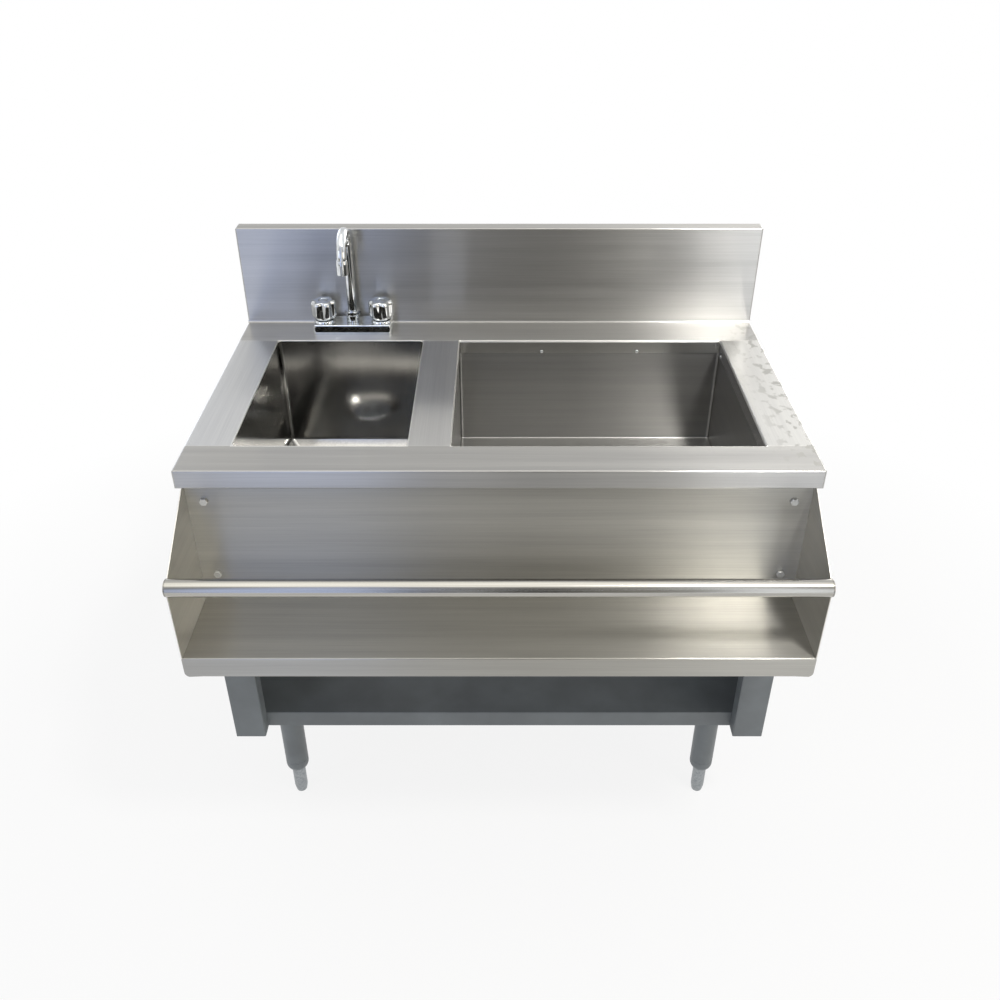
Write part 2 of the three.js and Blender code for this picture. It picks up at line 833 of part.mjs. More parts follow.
// The bar's pieces stand on its axis.
function makeBar() {
  const reach = half - barCap - seat;
  const tube = ring(barRadius - barWall, barRadius, [-reach, reach]);
  const plug = barRadius - barWall - seat;
  const cap = join(
    rod(barRadius, [half - barCap, half]),
    rod(plug, [half - barCap - barCapPlug, half - barCap]),
  );
  const group = new THREE.Group();
  group.position.set(0, barY, barZ);
  group.add(
    piece('rail_bar', brushedSteel, tube.rotate([0, 90, 0])),
    piece('rail_bar_cap_left', brushedSteel, cap.rotate([0, -90, 0])),
    piece('rail_bar_cap_right', brushedSteel, cap.rotate([0, 90, 0])),
  );
  return group;
}

function makeRailBolt(bolt) {
  const headY = railBackFront - seat;
  const tip = frameSetback + panelSheet + boltThread - headY;
  const body = join(hexagon(boltHeadWidth, [-boltHead, 0]), rod(boltRadius, [0, tip], smallSides));
  return piece(bolt.name, brushedSteel, atBolt(bolt, body, headY));
}

function makeBottleRail() {
  const group = new THREE.Group();
  group.add(
    makeRailBack(),
    makeRailShelf(),
    makeRailEnd('rail_end_left', -1),
    makeRailEnd('rail_end_right', 1),
    makeBar(),
    ...bolts.map(makeRailBolt),
  );
  return group;
}

// ---------------------------------------------------------------- faucet

// The faucet's pieces stand on the spout's axis, with z 0 on the worktop.
const coverCeiling = coverHeight - coverWall;
const bossTop = coverCeiling - seat;
const skirtFoot = coverHeight + seat;
const knobFoot = skirtFoot + skirtHeight + knobGap;
const knobTop = knobFoot + knobHeight;
const bonnetTop = knobFoot + bonnetRise;
const knobCapFoot = knobTop - knobCapHeight;
const valveStemTop = knobCapFoot - knobWeb;

function makeFaucetCover() {
  const halfX = valveSpacing / 2 + coverEnd;
  const halfY = coverDepth / 2;
  const bevelSteps = 2;
  const bevel = Array.from({ length: bevelSteps + 1 }, (_, step) => {
    const angle = ((step / bevelSteps) * Math.PI) / 2;
    const inset = coverBevel * (1 - Math.cos(angle));
    const z = coverHeight - coverBevel * (1 - Math.sin(angle));
    return rectangleRing(halfX - inset, halfY - inset, coverCorner - inset, z);
  });
  const outside = stack([rectangleRing(halfX, halfY, coverCorner, seat), ...bevel]);
  const inside = roundedBlock(
    halfX - coverWall,
    halfY - coverWall,
    coverCorner - coverWall,
    [-margin, coverCeiling],
  );
  const hole = rod(bonnetRadius + seat, [0, coverHeight + margin]);
  const holes = [-1, 0, 1].map((place) => hole.translate([(place * valveSpacing) / 2, 0, 0]));
  return piece('faucet_cover', chrome, cut(outside, inside, ...holes));
}

function makeWaterway() {
  const reach = valveSpacing / 2;
  const bar = block([-reach, reach], [-waterwayDepth / 2, waterwayDepth / 2], [seat, waterwayHeight]);
  const boss = rod(bossRadius, [seat, bossTop]);
  const shank = rod(shankRadius, [-shankLength, waterwayHeight]);
  const socket = rod(spoutRadius + seat, [socketFloor, bossTop + margin]);
  const ends = [-reach, reach].map((x) => join(boss, shank).translate([x, 0, 0]));
  return piece('faucet_waterway', brass, cut(join(bar, boss, ...ends), socket));
}

// What stands at one valve: locknut under the worktop, valve, knob and the knob's cap.
function makeLocknut(name) {
  const top = -deckSheet - seat;
  return piece(name, brass, hexNut(shankRadius + seat, locknutRim, [top - locknutHeight, top]));
}

// Bonnet through the cover, skirt that clamps the cover down, and the stem that turns in the knob.
function makeValve(name) {
  const body = turned([
    [0, bossTop + seat],
    [bonnetRadius, bossTop + seat],
    [bonnetRadius, skirtFoot],
    [skirtRadius, skirtFoot],
    [skirtRadius - skirtBevel, skirtFoot + skirtHeight],
    [bonnetRadius, skirtFoot + skirtHeight],
    [bonnetRadius, bonnetTop],
    [valveStemRadius, bonnetTop],
    [valveStemRadius, valveStemTop],
    [0, valveStemTop],
  ]);
  return piece(name, chrome, body);
}

// A level ring of the knob, with round lobes and narrower hollows between them.
function lobedRing(radius, flute, z) {
  const count = knobLobes * 8;
  return Array.from({ length: count }, (_, i) => {
    const angle = (i / count) * 2 * Math.PI;
    const hollow = ((1 - Math.cos(knobLobes * angle)) / 2) ** 2;
    const reach = radius - flute * hollow;
    return [reach * Math.cos(angle), reach * Math.sin(angle), z];
  });
}

function makeKnob(name) {
  const shoulderMiddle = (knobRadius + knobTopRadius) / 2 + knobFlute / 4;
  const outside = stack([
    lobedRing(knobFootRadius, knobFlute / 4, knobFoot),
    lobedRing(knobRadius, knobFlute, knobFoot + knobFootRise),
    lobedRing(knobRadius, knobFlute, knobTop - knobShoulder),
    lobedRing(shoulderMiddle, (knobFlute * 3) / 4, knobTop - knobShoulder / 4),
    lobedRing(knobTopRadius, knobFlute / 2, knobTop),
  ]);
  const bonnetBore = rod(bonnetRadius + 2 * seat, [knobFoot - margin, bonnetTop + seat]);
  const stemBore = rod(valveStemRadius + seat, [bonnetTop, valveStemTop + seat]);
  const capBore = rod(knobCapRadius + seat, [knobCapFoot - seat, knobTop + margin]);
  return piece(name, chrome, cut(outside, bonnetBore, stemBore, capBore));
}

function makeKnobCap(name) {
  const body = turned([
    [0, knobCapFoot],
    [knobCapRadius, knobCapFoot],
    [knobCapRadius, knobTop - knobCapBevel],
    [knobCapRadius - knobCapBevel, knobTop],
    [0, knobTop],
  ]);
  return piece(name, chrome, body);
}

function makeTap(name, side) {
  const group = new THREE.Group();
  group.position.x = (side * valveSpacing) / 2;
  group.add(
    makeLocknut(`${name}_locknut`),
    makeValve(`${name}_valve`),
    makeKnob(`${name}_knob`),
    makeKnobCap(`${name}_knob_cap`),
  );
  return group;
}

function makeSpoutNut() {
  const bore = spoutRadius + seat;
  const hexFoot = skirtFoot + spoutNutFoot;
  const base = ring(bore, spoutNutRadius, [skirtFoot, hexFoot + spoutNutHex]);
  return piece('spout_nut', chrome, join(base, hexNut(bore, spoutNutRim, [hexFoot, hexFoot + spoutNutHex])));
}

// The spout's axis: straight up, half a turn forwards, and a short way down into the aerator.
class Gooseneck extends THREE.Curve {
  getPoint(t, target = new THREE.Vector3()) {
    const foot = socketFloor + seat;
    const up = spoutRise - foot;
    const round = Math.PI * spoutArc;
    const along = t * (up + round + aeratorGrip);
    if (along <= up) return target.set(0, 0, foot + along);
    const angle = Math.min((along - up) / spoutArc, Math.PI);
    const down = Math.max(along - up - round, 0);
    return target.set(0, -spoutArc * (1 - Math.cos(angle)), spoutRise + spoutArc * Math.sin(angle) - down);
  }
}

function makeSpout() {
  const outline = new THREE.Shape();
  outline.absarc(0, 0, spoutRadius, 0, 2 * Math.PI);
  const sweep = { steps: 30, curveSegments: 6, extrudePath: new Gooseneck() };
  return piece('spout', chrome, solid(new THREE.ExtrudeGeometry(outline, sweep)));
}

function makeAerator() {
  const grip = spoutRise - aeratorGrip - seat;
  const foot = spoutRise - aeratorLength;
  const bore = spoutRadius + seat;
  const outer = bore + aeratorWall;
  const body = turned([
    [0, grip - aeratorWall],
    [bore, grip - aeratorWall],
    [bore, foot],
    [outer, foot],
    [outer, spoutRise - aeratorHead],
    [outer - aeratorBevel, spoutRise],
    [bore, spoutRise],
    [bore, grip],
    [0, grip],
  ]);
  const mesh = piece('spout_aerator', chrome, body);
  mesh.position.y = -2 * spoutArc;
  return mesh;
}

function makeFaucet() {
  const group = new THREE.Group();
  group.position.set(faucetX, faucetY, deckHeight);
  group.add(
    makeFaucetCover(),
    makeWaterway(),
    makeTap('hot', -1),
    makeTap('cold', 1),
    makeSpoutNut(),
    makeSpout(),
    makeAerator(),
  );
  return group;
}

// ---------------------------------------------------------------- station

const station = new THREE.Group();
station.position.y = -middleY;
station.add(
  makeWorktop(),
  makeBacksplash(),
  makeSink(),
  makeIceBin(),
  makeSidePanel('side_panel_left', -1),
  makeSidePanel('side_panel_right', 1),
  makeUndershelf(),
  ...legPlaces.map(makeLeg),
  makeBottleRail(),
  makeFaucet(),
);

export default station;
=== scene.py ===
# Bartender's station in stainless steel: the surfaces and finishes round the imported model.
# Metres, +Z up, +X towards the ice bin, the wall at +Y. Sizes in the dictionaries are in millimetres.
import math

import bmesh
import bpy
from mathutils import Matrix, Vector
from mathutils.bvhtree import BVHTree


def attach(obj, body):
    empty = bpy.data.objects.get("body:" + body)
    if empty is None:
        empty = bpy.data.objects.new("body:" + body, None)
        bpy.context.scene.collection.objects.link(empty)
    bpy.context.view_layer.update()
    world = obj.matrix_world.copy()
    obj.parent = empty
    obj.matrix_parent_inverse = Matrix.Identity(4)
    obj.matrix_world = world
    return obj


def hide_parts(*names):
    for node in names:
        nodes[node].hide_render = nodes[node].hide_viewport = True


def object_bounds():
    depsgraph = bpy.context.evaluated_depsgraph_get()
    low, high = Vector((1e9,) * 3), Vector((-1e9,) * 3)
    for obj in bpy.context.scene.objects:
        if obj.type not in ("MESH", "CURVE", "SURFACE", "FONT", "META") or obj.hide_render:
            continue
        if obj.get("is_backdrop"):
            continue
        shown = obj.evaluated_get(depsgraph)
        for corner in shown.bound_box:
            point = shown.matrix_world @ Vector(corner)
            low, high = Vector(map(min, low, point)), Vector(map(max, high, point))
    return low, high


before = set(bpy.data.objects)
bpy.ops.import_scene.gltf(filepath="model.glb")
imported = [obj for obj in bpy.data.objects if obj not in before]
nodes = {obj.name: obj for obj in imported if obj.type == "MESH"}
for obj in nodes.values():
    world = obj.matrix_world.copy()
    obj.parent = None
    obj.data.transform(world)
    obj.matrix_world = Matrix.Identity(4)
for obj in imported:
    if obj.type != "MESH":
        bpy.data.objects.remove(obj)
cadLow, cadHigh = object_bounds()
mm = 0.001
print("frame loaded:", len(nodes), "nodes")

# camera at the photograph's angle

view = {"place": (0.0014, -1.3463, 1.5323), "tilt": 57.141, "lens": 35.079, "shiftY": -0.0265}
cameraData = bpy.data.cameras.new("stationCamera")
cameraData.sensor_width = 36
cameraData.lens = view["lens"]
cameraData.shift_y = view["shiftY"]
camera = bpy.data.objects.new("stationCamera", cameraData)
camera.location = view["place"]
camera.rotation_euler = (math.radians(view["tilt"]), 0, 0)
bpy.context.scene.collection.objects.link(camera)
bpy.context.scene.camera = camera


# colours and nodes

def fromHex(hexColour):  # sRGB "#rrggbb" to linear red, green, blue, alpha
    parts = [int(hexColour[i:i + 2], 16) / 255 for i in (1, 3, 5)]
    linear = [c / 12.92 if c <= 0.04045 else ((c + 0.055) / 1.055) ** 2.4 for c in parts]
    return (*linear, 1.0)


# A shader node goes by its short name, and an input is a value or another node's output.
def addNode(tree, kind, inputs=None, **settings):
    node = tree.nodes.new(kind if "Node" in kind else "ShaderNode" + kind)
    for name, value in settings.items():
        setattr(node, name, value)
    for socket, term in (inputs or {}).items():
        if isinstance(term, bpy.types.NodeSocket):
            tree.links.new(term, node.inputs[socket])
        else:
            node.inputs[socket].default_value = term
    return node.outputs


def startMaterial(name):
    material = bpy.data.materials.new(name)
    material.use_nodes = True
    tree = material.node_tree
    tree.nodes.clear()
    return material, tree, addNode(tree, "TexCoord")["Object"]


def finishMaterial(material, tree, surface):
    shader = addNode(tree, "BsdfPrincipled", surface)
    addNode(tree, "OutputMaterial", {"Surface": shader[0]})
    return material


def stretchedNoise(tree, position, spacing, detail=2.0):  # spacing: the pattern's size along x, y, z in mm
    scale = [1 / (size * mm) for size in spacing]
    mapped = addNode(tree, "Mapping", {"Vector": position, "Scale": scale})
    return addNode(tree, "TexNoise", {"Vector": mapped[0], "Scale": 1.0, "Detail": detail})["Fac"]


def shaded(tree, pattern, limits, colours):  # from one colour to the other as the pattern rises
    low, high = limits
    share = addNode(tree, "MapRange", {0: pattern, 1: low, 2: high})
    first, second = (fromHex(colour) for colour in colours)
    return addNode(tree, "Mix", {0: share[0], 6: first, 7: second}, data_type="RGBA")[2]


def toned(tree, pattern, look):  # colour and roughness that follow a pattern
    low, high = look.get("gloss", look["tone"])
    smooth, dull = look["roughness"]
    rough = addNode(tree, "MapRange", {0: pattern, 1: low, 2: high, 3: smooth, 4: dull})
    return {"Base Color": shaded(tree, pattern, look["tone"], look["colours"]), "Roughness": rough[0]}


# metals and other finishes; between its "tone" limits a pattern shifts the colour, and between its
# "gloss" limits, or the same ones, the roughness

brushedLook = {
    "colours": ("#aeadaa", "#bab9b6"),
    "tone": (0.72, 1.28),
    "roughness": (0.3, 0.32),
    "anisotropy": 0.97,
    "scratch": (140, 1.6),  # real brush marks are near 0.1 mm apart; drawn coarser so that they show
    "band": (700, 14),
    "marks": 0.002,  # depth of the brush marks, in mm
    "waviness": 0.3,  # how far the sheet wanders from flat, in mm
    "wave": (190, 190, 60),
}


def brushMarks(tree, position, grain, look):  # fine scratches along the grain, and the same with broad bands
    scratch, band = (
        stretchedNoise(tree, position, [long if axis in grain else wide for axis in "XYZ"], detail)
        for (long, wide), detail in ((look["scratch"], 3.0), (look["band"], 2.0))
    )
    return scratch, addNode(tree, "Math", {0: scratch, 1: band}, operation="ADD")[0]


def wavySheet(tree, position, marks, look):  # the sheet's slow waves with the brush marks on them
    wave = stretchedNoise(tree, position, look["wave"], 1.0)
    swell = {"Strength": 1.0, "Distance": look["waviness"] * mm, "Height": wave}
    wavy = addNode(tree, "Bump", swell)
    fine = {"Strength": 0.5, "Distance": look["marks"] * mm, "Height": marks, "Normal": wavy[0]}
    return addNode(tree, "Bump", fine)[0]


# Cold-rolled stainless sheet, belt-brushed in one direction: the eye sees long faint streaks along the
# grain and highlights smeared across it.
def brushedStainless(name, grain, look=brushedLook):  # "XY": grain that runs level round a box
    material, tree, position = startMaterial(name)
    scratch, streaks = brushMarks(tree, position, grain, look)
    across = [0.0 if axis == grain else 1.0 for axis in "XYZ"] if grain != "XY" else [0.0, 0.15, 1.0]
    surface = toned(tree, streaks, look)
    surface["Normal"] = wavySheet(tree, position, scratch, look)
    surface["Tangent"] = addNode(tree, "CombineXYZ", dict(enumerate(across)))[0]
    surface.update({"Metallic": 1.0, "Anisotropic": look["anisotropy"]})
    return finishMaterial(material, tree, surface)


worktopLook = dict(
    brushedLook,
    colours=("#adacaa", "#b9b8b5"),
    sideColours=("#bebdbb", "#c9c8c5"),  # the side strips and the land come a little paler from the belt
    roughness=(0.28, 0.3),
    anisotropy=0.96,
    wave=(180, 150, 70),
    middle=39.4,  # the openings' middle, front to back
    reach=178,  # and half their length: side strips run between these two lines
    openings=[(-260.5, 127), (159, 228.5)],  # middle and half width, left to right
    top=798.5,  # below it the sheet is folded down
    foldReach=3,
    foldRoughness=0.2,
    seam=0.9,  # half width of the ground weld
    seamColour="#d6d5d1",
    seamRoughness=0.2,  # added to the sheet's own, as the stains' is
    stain=(16, 22, 16),
    stainEdge=(0.53, 0.6),
    stainFrom=(390, 440),  # where the stains begin and are full, left to right
    stainColour="#a2a19d",
    stainRoughness=0.05,
    rim=(2.4, 1.44),  # a painted highlight: the pale line round the openings' top edges, where the bends catch the light
    paintedHighlightDepth=2,
    # the painted highlight's pale colour, and its roughness below
    rimColour="#e6e5e1",
    rimRoughness=0.5,
)


# The worktop is welded up from strips and ground: its front and rear strips are brushed along X, the
# sides and the land along Y, with a fine ground seam between; water has left faint dull marks at the
# right. The edges folded down into the openings are smoother, with a painted highlight round their rims.
def weldedWorktop(look=worktopLook):
    material, tree, position = startMaterial("brushedStainlessWorktop")
    x, y, z = addNode(tree, "SeparateXYZ", {0: position})
    top, reach = look["top"] * mm, look["reach"] * mm
    onTop = addNode(tree, "Math", {0: z, 1: top}, operation="GREATER_THAN")[0]
    ahead = addNode(tree, "Math", {0: y, 1: look["middle"] * mm}, operation="SUBTRACT")[0]
    ahead = addNode(tree, "Math", {0: ahead}, operation="ABSOLUTE")[0]  # how far from the openings' middle
    past = addNode(tree, "Math", {0: ahead, 1: reach}, operation="SUBTRACT")[0]
    sideways = addNode(tree, "Math", {0: ahead, 1: reach}, operation="LESS_THAN")[0]

    offSeam = addNode(tree, "Math", {0: past}, operation="ABSOLUTE")[0]
    seam = addNode(tree, "MapRange", {0: offSeam, 1: 0.0, 2: look["seam"] * mm, 3: 1.0, 4: 0.0})[0]

    blots = stretchedNoise(tree, position, look["stain"], 5.0)
    stain = onTop
    for source, (low, high) in ((x, [end * mm for end in look["stainFrom"]]), (blots, look["stainEdge"])):
        share = addNode(tree, "MapRange", {0: source, 1: low, 2: high})[0]
        stain = addNode(tree, "Math", {0: share, 1: stain}, operation="MULTIPLY")[0]

    nearest = 1.0
    for centre, half in look["openings"]:
        outside = x
        steps = ("SUBTRACT", centre * mm), ("ABSOLUTE", 0.0), ("SUBTRACT", half * mm), ("MAXIMUM", past)
        for operation, term in (*steps, ("MINIMUM", nearest)):
            outside = addNode(tree, "Math", {0: outside, 1: term}, operation=operation)[0]
        nearest = outside
    # the painted highlight: a pale band round the openings' top edges, just below the top, in place of the
    # light the bends catch
    outer, inner = (width * mm for width in look["rim"])
    line = addNode(tree, "MapRange", {0: nearest, 1: outer, 2: inner})[0]
    above = {0: z, 1: top - look["paintedHighlightDepth"] * mm}
    above = addNode(tree, "Math", above, operation="GREATER_THAN")[0]
    rim = addNode(tree, "Math", {0: line, 1: above}, operation="MULTIPLY")[0]

    ways = [brushMarks(tree, position, grain, look)[1] for grain in "XY"]
    streaks = addNode(tree, "Mix", {0: sideways, 2: ways[0], 3: ways[1]})[0]
    surface = toned(tree, streaks, look)
    colour, rough = surface["Base Color"], surface["Roughness"]
    sides = shaded(tree, streaks, look["tone"], look["sideColours"])
    tints = [fromHex(look[part + "Colour"]) for part in ("seam", "stain", "rim")]
    for share, tint in zip((sideways, seam, stain, rim), (sides, *tints)):
        colour = addNode(tree, "Mix", {0: share, 6: colour, 7: tint}, data_type="RGBA")[2]
    for share, part in ((stain, "stain"), (seam, "seam")):
        more = {0: share, 1: look[part + "Roughness"], 2: rough}
        rough = addNode(tree, "Math", more, operation="MULTIPLY_ADD")[0]
    inside = {0: ahead, 1: reach + look["foldReach"] * mm}
    inside = addNode(tree, "Math", inside, operation="LESS_THAN")[0]
    below = addNode(tree, "Math", {0: 1.0, 1: onTop}, operation="SUBTRACT")[0]
    folded = addNode(tree, "Math", {0: below, 1: inside}, operation="MULTIPLY")[0]
    for share, part in ((folded, "fold"), (rim, "rim")):
        rough = addNode(tree, "Mix", {0: share, 2: rough, 3: look[part + "Roughness"]})[0]
    acrossGrain = {0: sideways, 4: (0.0, 1.0, 1.0), 5: (1.0, 0.0, 1.0)}
    surface = {
        "Base Color": colour,
        "Roughness": rough,
        "Normal": wavySheet(tree, position, streaks, look),
        "Tangent": addNode(tree, "Mix", acrossGrain, data_type="VECTOR")[1],
        "Metallic": 1.0,
        "Anisotropic": look["anisotropy"],
    }
    return finishMaterial(material, tree, surface)


drawnLook = {
    "colours": ("#a9a8a5", "#b7b6b3"),
    "tone": (0.75, 1.25),
    "roughness": (0.11, 0.13),
    "lines": (2.2, 2.2, 160),
    "cloud": (60, 60, 60),
    "wave": (110, 110, 90),
    "waviness": 0.1,
}


# Deep-drawn stainless, satin inside: softer and darker than the sheet, with faint upright draw lines.
def drawnStainless(look=drawnLook):
    material, tree, position = startMaterial("drawnStainlessSatin")
    lines, cloud = (stretchedNoise(tree, position, look[part], 3.0) for part in ("lines", "cloud"))
    both = addNode(tree, "Math", {0: lines, 1: cloud}, operation="ADD")[0]
    surface = toned(tree, both, look)
    wave = stretchedNoise(tree, position, look["wave"], 1.0)
    swell = {"Strength": 1.0, "Distance": look["waviness"] * mm, "Height": wave}
    surface["Normal"] = addNode(tree, "Bump", swell)[0]
    surface["Metallic"] = 1.0
    return finishMaterial(material, tree, surface)


# Hot-dip galvanised steel: flat grey crystals a few millimetres across, each turned to the light its own way.
zincLook = {"colours": ("#8d9194", "#a9adaf"), "tone": (0.0, 1.0), "roughness": (0.34, 0.52)}


def galvanised(name, spangle, look=zincLook):
    material, tree, position = startMaterial(name)
    cells = addNode(tree, "TexVoronoi", {"Vector": position, "Scale": 1 / (spangle * mm)})
    crystal = addNode(tree, "SeparateColor", {0: cells["Color"]})[0]
    surface = toned(tree, crystal, look)
    surface["Metallic"] = 1.0
    return finishMaterial(material, tree, surface)


# Machined brass, a little tarnished: warm yellow with browner patches; thread marks ring the shanks.
brassLook = {
    "colours": ("#b5964e", "#967637"),
    "tone": (0.3, 0.7),
    "roughness": (0.24, 0.4),
    "cloud": (14, 14, 14),
    "pitch": 2.0,
    "bandsPerUnit": 3.3,  # how often the wave texture repeats
    "thread": 0.3,
}


def machinedBrass(look=brassLook):
    material, tree, position = startMaterial("machinedBrass")
    surface = toned(tree, stretchedNoise(tree, position, look["cloud"], 4.0), look)
    thread = {"Vector": position, "Scale": 1 / (look["pitch"] * mm) / look["bandsPerUnit"], "Distortion": 0.0}
    rings = addNode(tree, "TexWave", thread, bands_direction="Z")["Fac"]
    cut = {"Strength": 0.35, "Distance": look["thread"] * mm, "Height": rings}
    surface["Normal"] = addNode(tree, "Bump", cut)[0]
    surface["Metallic"] = 1.0
    return finishMaterial(material, tree, surface)


# Rigid polyurethane foam, foamed in place: pale yellow, matt, with small open cells.
foamLook = {"colours": ("#d9cda4", "#eae2c4"), "cell": 2.5, "pit": 0.5}


def foamFill(look=foamLook):
    material, tree, position = startMaterial("rigidPolyurethaneFoam")
    cells = addNode(tree, "TexVoronoi", {"Vector": position, "Scale": 1 / (look["cell"] * mm)})
    colour = shaded(tree, cells["Distance"], (0.0, 1.0), look["colours"])
    pits = {"Strength": 0.8, "Distance": look["pit"] * mm, "Height": cells["Distance"]}
    normal = addNode(tree, "Bump", pits)[0]
    return finishMaterial(material, tree, {"Roughness": 0.9, "Base Color": colour, "Normal": normal})


def mottledFinish(name, look):  # a cloudy pattern shifts tone and gloss; a finer one roughens the skin
    material, tree, position = startMaterial(name)
    surface = toned(tree, stretchedNoise(tree, position, look["pattern"], look["detail"]), look)
    if "skin" in look:
        size, detail, strength, depth = look["skin"]
        grains = stretchedNoise(tree, position, (size,) * 3, detail)
        skin = {"Strength": strength, "Distance": depth * mm, "Height": grains}
        surface["Normal"] = addNode(tree, "Bump", skin)[0]
    surface.update(look.get("surface", {"Metallic": 1.0}))
    return finishMaterial(material, tree, surface)


# Welded stainless tube, satin polished round its length: one soft white line between warm grey edges.
tubeLook = {
    "colours": ("#aaa8a2", "#b8b6b0"), "tone": (0.35, 0.65), "roughness": (0.15, 0.2),
    "pattern": (220, 1.8, 1.8), "detail": 3.0,
}
# Small fasteners with a pale satin face, aluminium rivets and bright zinc bolts: they stand out on the sheet.
fastenerLook = {
    "colours": ("#d6d7d6", "#e4e5e4"), "tone": (0.35, 0.65), "roughness": (0.36, 0.44),
    "pattern": (2, 2, 2), "detail": 2.0,
}
# Bright chrome on cast brass: mirror-like and faintly blue, dulled here and there by handling.
chromeLook = {
    "colours": ("#e3e6e8", "#d2d6d9"), "tone": (0.35, 0.7), "gloss": (0.42, 0.7), "roughness": (0.04, 0.12),
    "pattern": (9, 9, 9), "detail": 4.0, "skin": (5, 1.0, 1.0, 0.02),
}
# Grey powder coat on steel: even colour with a fine orange-peel skin and a soft sheen. Real orange peel
# is near 1 mm, drawn coarser here.
paintLook = {
    "colours": ("#63686b", "#71777a"), "tone": (0.35, 0.65), "gloss": (0.3, 0.7), "roughness": (0.36, 0.46),
    "pattern": (90, 90, 90), "detail": 4.0, "skin": (2.4, 2.0, 0.6, 0.05),
    "surface": {"Metallic": 0.0, "IOR": 1.5},
}
# Moulded black rubber: matt, slightly dusty.
rubberLook = {
    "colours": ("#1c1c1c", "#2c2b29"), "tone": (0.4, 0.7), "gloss": (0.3, 0.7), "roughness": (0.7, 0.85),
    "surface": {"Metallic": 0.0}, "pattern": (6, 6, 6), "detail": 4.0,
}

binLook = dict(
    brushedLook, colours=("#a1a09e", "#aaa9a6"), roughness=(0.3, 0.315), anisotropy=0.85, marks=0.0015
)
railLook = dict(brushedLook, colours=("#a4a29c", "#b0aea7"), anisotropy=0.96)
# The end plates: the rail's steel drawn much paler, painted light for the lamplight that their faces catch.
litEndLook = dict(
    railLook, colours=("#e2e0da", "#efede7"), roughness=(0.3, 0.4), waviness=1.2, wave=(60, 60, 60)
)
steelAlong = brushedStainless("brushedStainlessAlong", "X")
steelRail = brushedStainless("brushedStainlessRail", "X", railLook)
steelEndsPaintedLight = brushedStainless("brushedStainlessEnds", "Y", litEndLook)
steelBin = brushedStainless("brushedStainlessBin", "XY", binLook)
steelWorktop = weldedWorktop()
steelDrawn = drawnStainless()
steelPolished = mottledFinish("satinPolishedStainlessTube", tubeLook)
rivetAluminium = mottledFinish("satinAluminium", fastenerLook)
boltZinc = mottledFinish("brightZincPlate", fastenerLook)
chrome = mottledFinish("chromePlatedBrass", chromeLook)
zinc = galvanised("galvanisedSheet", 9)
zincPlated = galvanised("zincPlatedSteel", 3)
paint = mottledFinish("greyPowderCoat", paintLook)
brass = machinedBrass()
foam = foamFill()
rubber = mottledFinish("mouldedRubber", rubberLook)
print("finishes made:", len(bpy.data.materials))


# meshes

def cleaned(mesh):  # double points joined and faces turned outwards
    shape = bmesh.new()
    shape.from_mesh(mesh)
    bmesh.ops.remove_doubles(shape, verts=shape.verts, dist=0.001 * mm)
    bmesh.ops.recalc_face_normals(shape, faces=shape.faces)
    shape.to_mesh(mesh)
    shape.free()
    return mesh


def makeMesh(name, points, faces):
    mesh = bpy.data.meshes.new(name)
    mesh.from_pydata([Vector(point) * mm for point in points], [], faces)
    return cleaned(mesh)


def softened(outline, steps=4):  # corners of a closed outline of (a, b, rounding) become short arcs
    points = []
    for i, (a, b, rounding) in enumerate(outline):
        corner = Vector((a, b))
        if rounding == 0:
            points.append((a, b))
            continue
        before = Vector(outline[i - 1][:2]) - corner
        after = Vector(outline[(i + 1) % len(outline)][:2]) - corner
        start = corner + before.normalized() * min(rounding, before.length / 2)
        end = corner + after.normalized() * min(rounding, after.length / 2)
        for step in range(steps + 1):
            t = step / steps
            points.append(tuple(start * (1 - t) ** 2 + corner * (2 * t * (1 - t)) + end * t ** 2))
    return points


def lathe(name, outline, turns=72, axis="Z"):  # a closed outline of (radius, height, rounding), turned
    profile = softened(outline)
    count = len(profile)
    points, faces = [], []
    for turn in range(turns):
        angle = 2 * math.pi * turn / turns
        for radius, height in profile:
            a, b = radius * math.cos(angle), radius * math.sin(angle)
            points.append((a, b, height) if axis == "Z" else (height, a, b))
        here, there = turn * count, (turn + 1) % turns * count
        for i in range(count):
            after = (i + 1) % count
            if profile[i][0] > 0 or profile[after][0] > 0:
                faces.append((here + i, here + after, there + after, there + i))
    return makeMesh(name, points, faces)


def loft(name, rings, loop=False):  # rings with as many points each; without loop both ends are capped
    count = len(rings[0])
    points = [point for ring in rings for point in ring]
    faces = []
    for level in range(len(rings) - (0 if loop else 1)):
        low, high = level * count, (level + 1) % len(rings) * count
        for i in range(count):
            after = (i + 1) % count
            faces.append((low + i, low + after, high + after, high + i))
    if not loop:
        top = (len(rings) - 1) * count
        faces.append(tuple(reversed(range(count))))
        faces.append(tuple(range(top, top + count)))
    return makeMesh(name, points, faces)


def roundedRing(halfX, halfY, corner, height, bulge=0.0, cornerSteps=8, sideSteps=10):
    turns = ((1, 1), (-1, 1), (-1, -1), (1, -1))
    points = []
    for quarter, (signX, signY) in enumerate(turns):
        for step in range(cornerSteps + 1):
            angle = (quarter + step / cornerSteps) * math.pi / 2
            x = signX * (halfX - corner) + corner * math.cos(angle)
            y = signY * (halfY - corner) + corner * math.sin(angle)
            points.append(Vector((x, y, height)))
        nextX, nextY = turns[(quarter + 1) % 4]
        angle = (quarter + 1) * math.pi / 2
        outwards = Vector((math.cos(angle), math.sin(angle), 0))
        start = points[-1]
        end = Vector((nextX * (halfX - corner), nextY * (halfY - corner), height)) + outwards * corner
        for step in range(1, sideSteps):
            t = step / sideSteps
            points.append(start.lerp(end, t) + outwards * bulge * math.sin(math.pi * t))
    return points


def roundRing(radius, height, count=96):
    angles = [2 * math.pi * i / count for i in range(count)]
    return [(radius * math.cos(a), radius * math.sin(a), height) for a in angles]


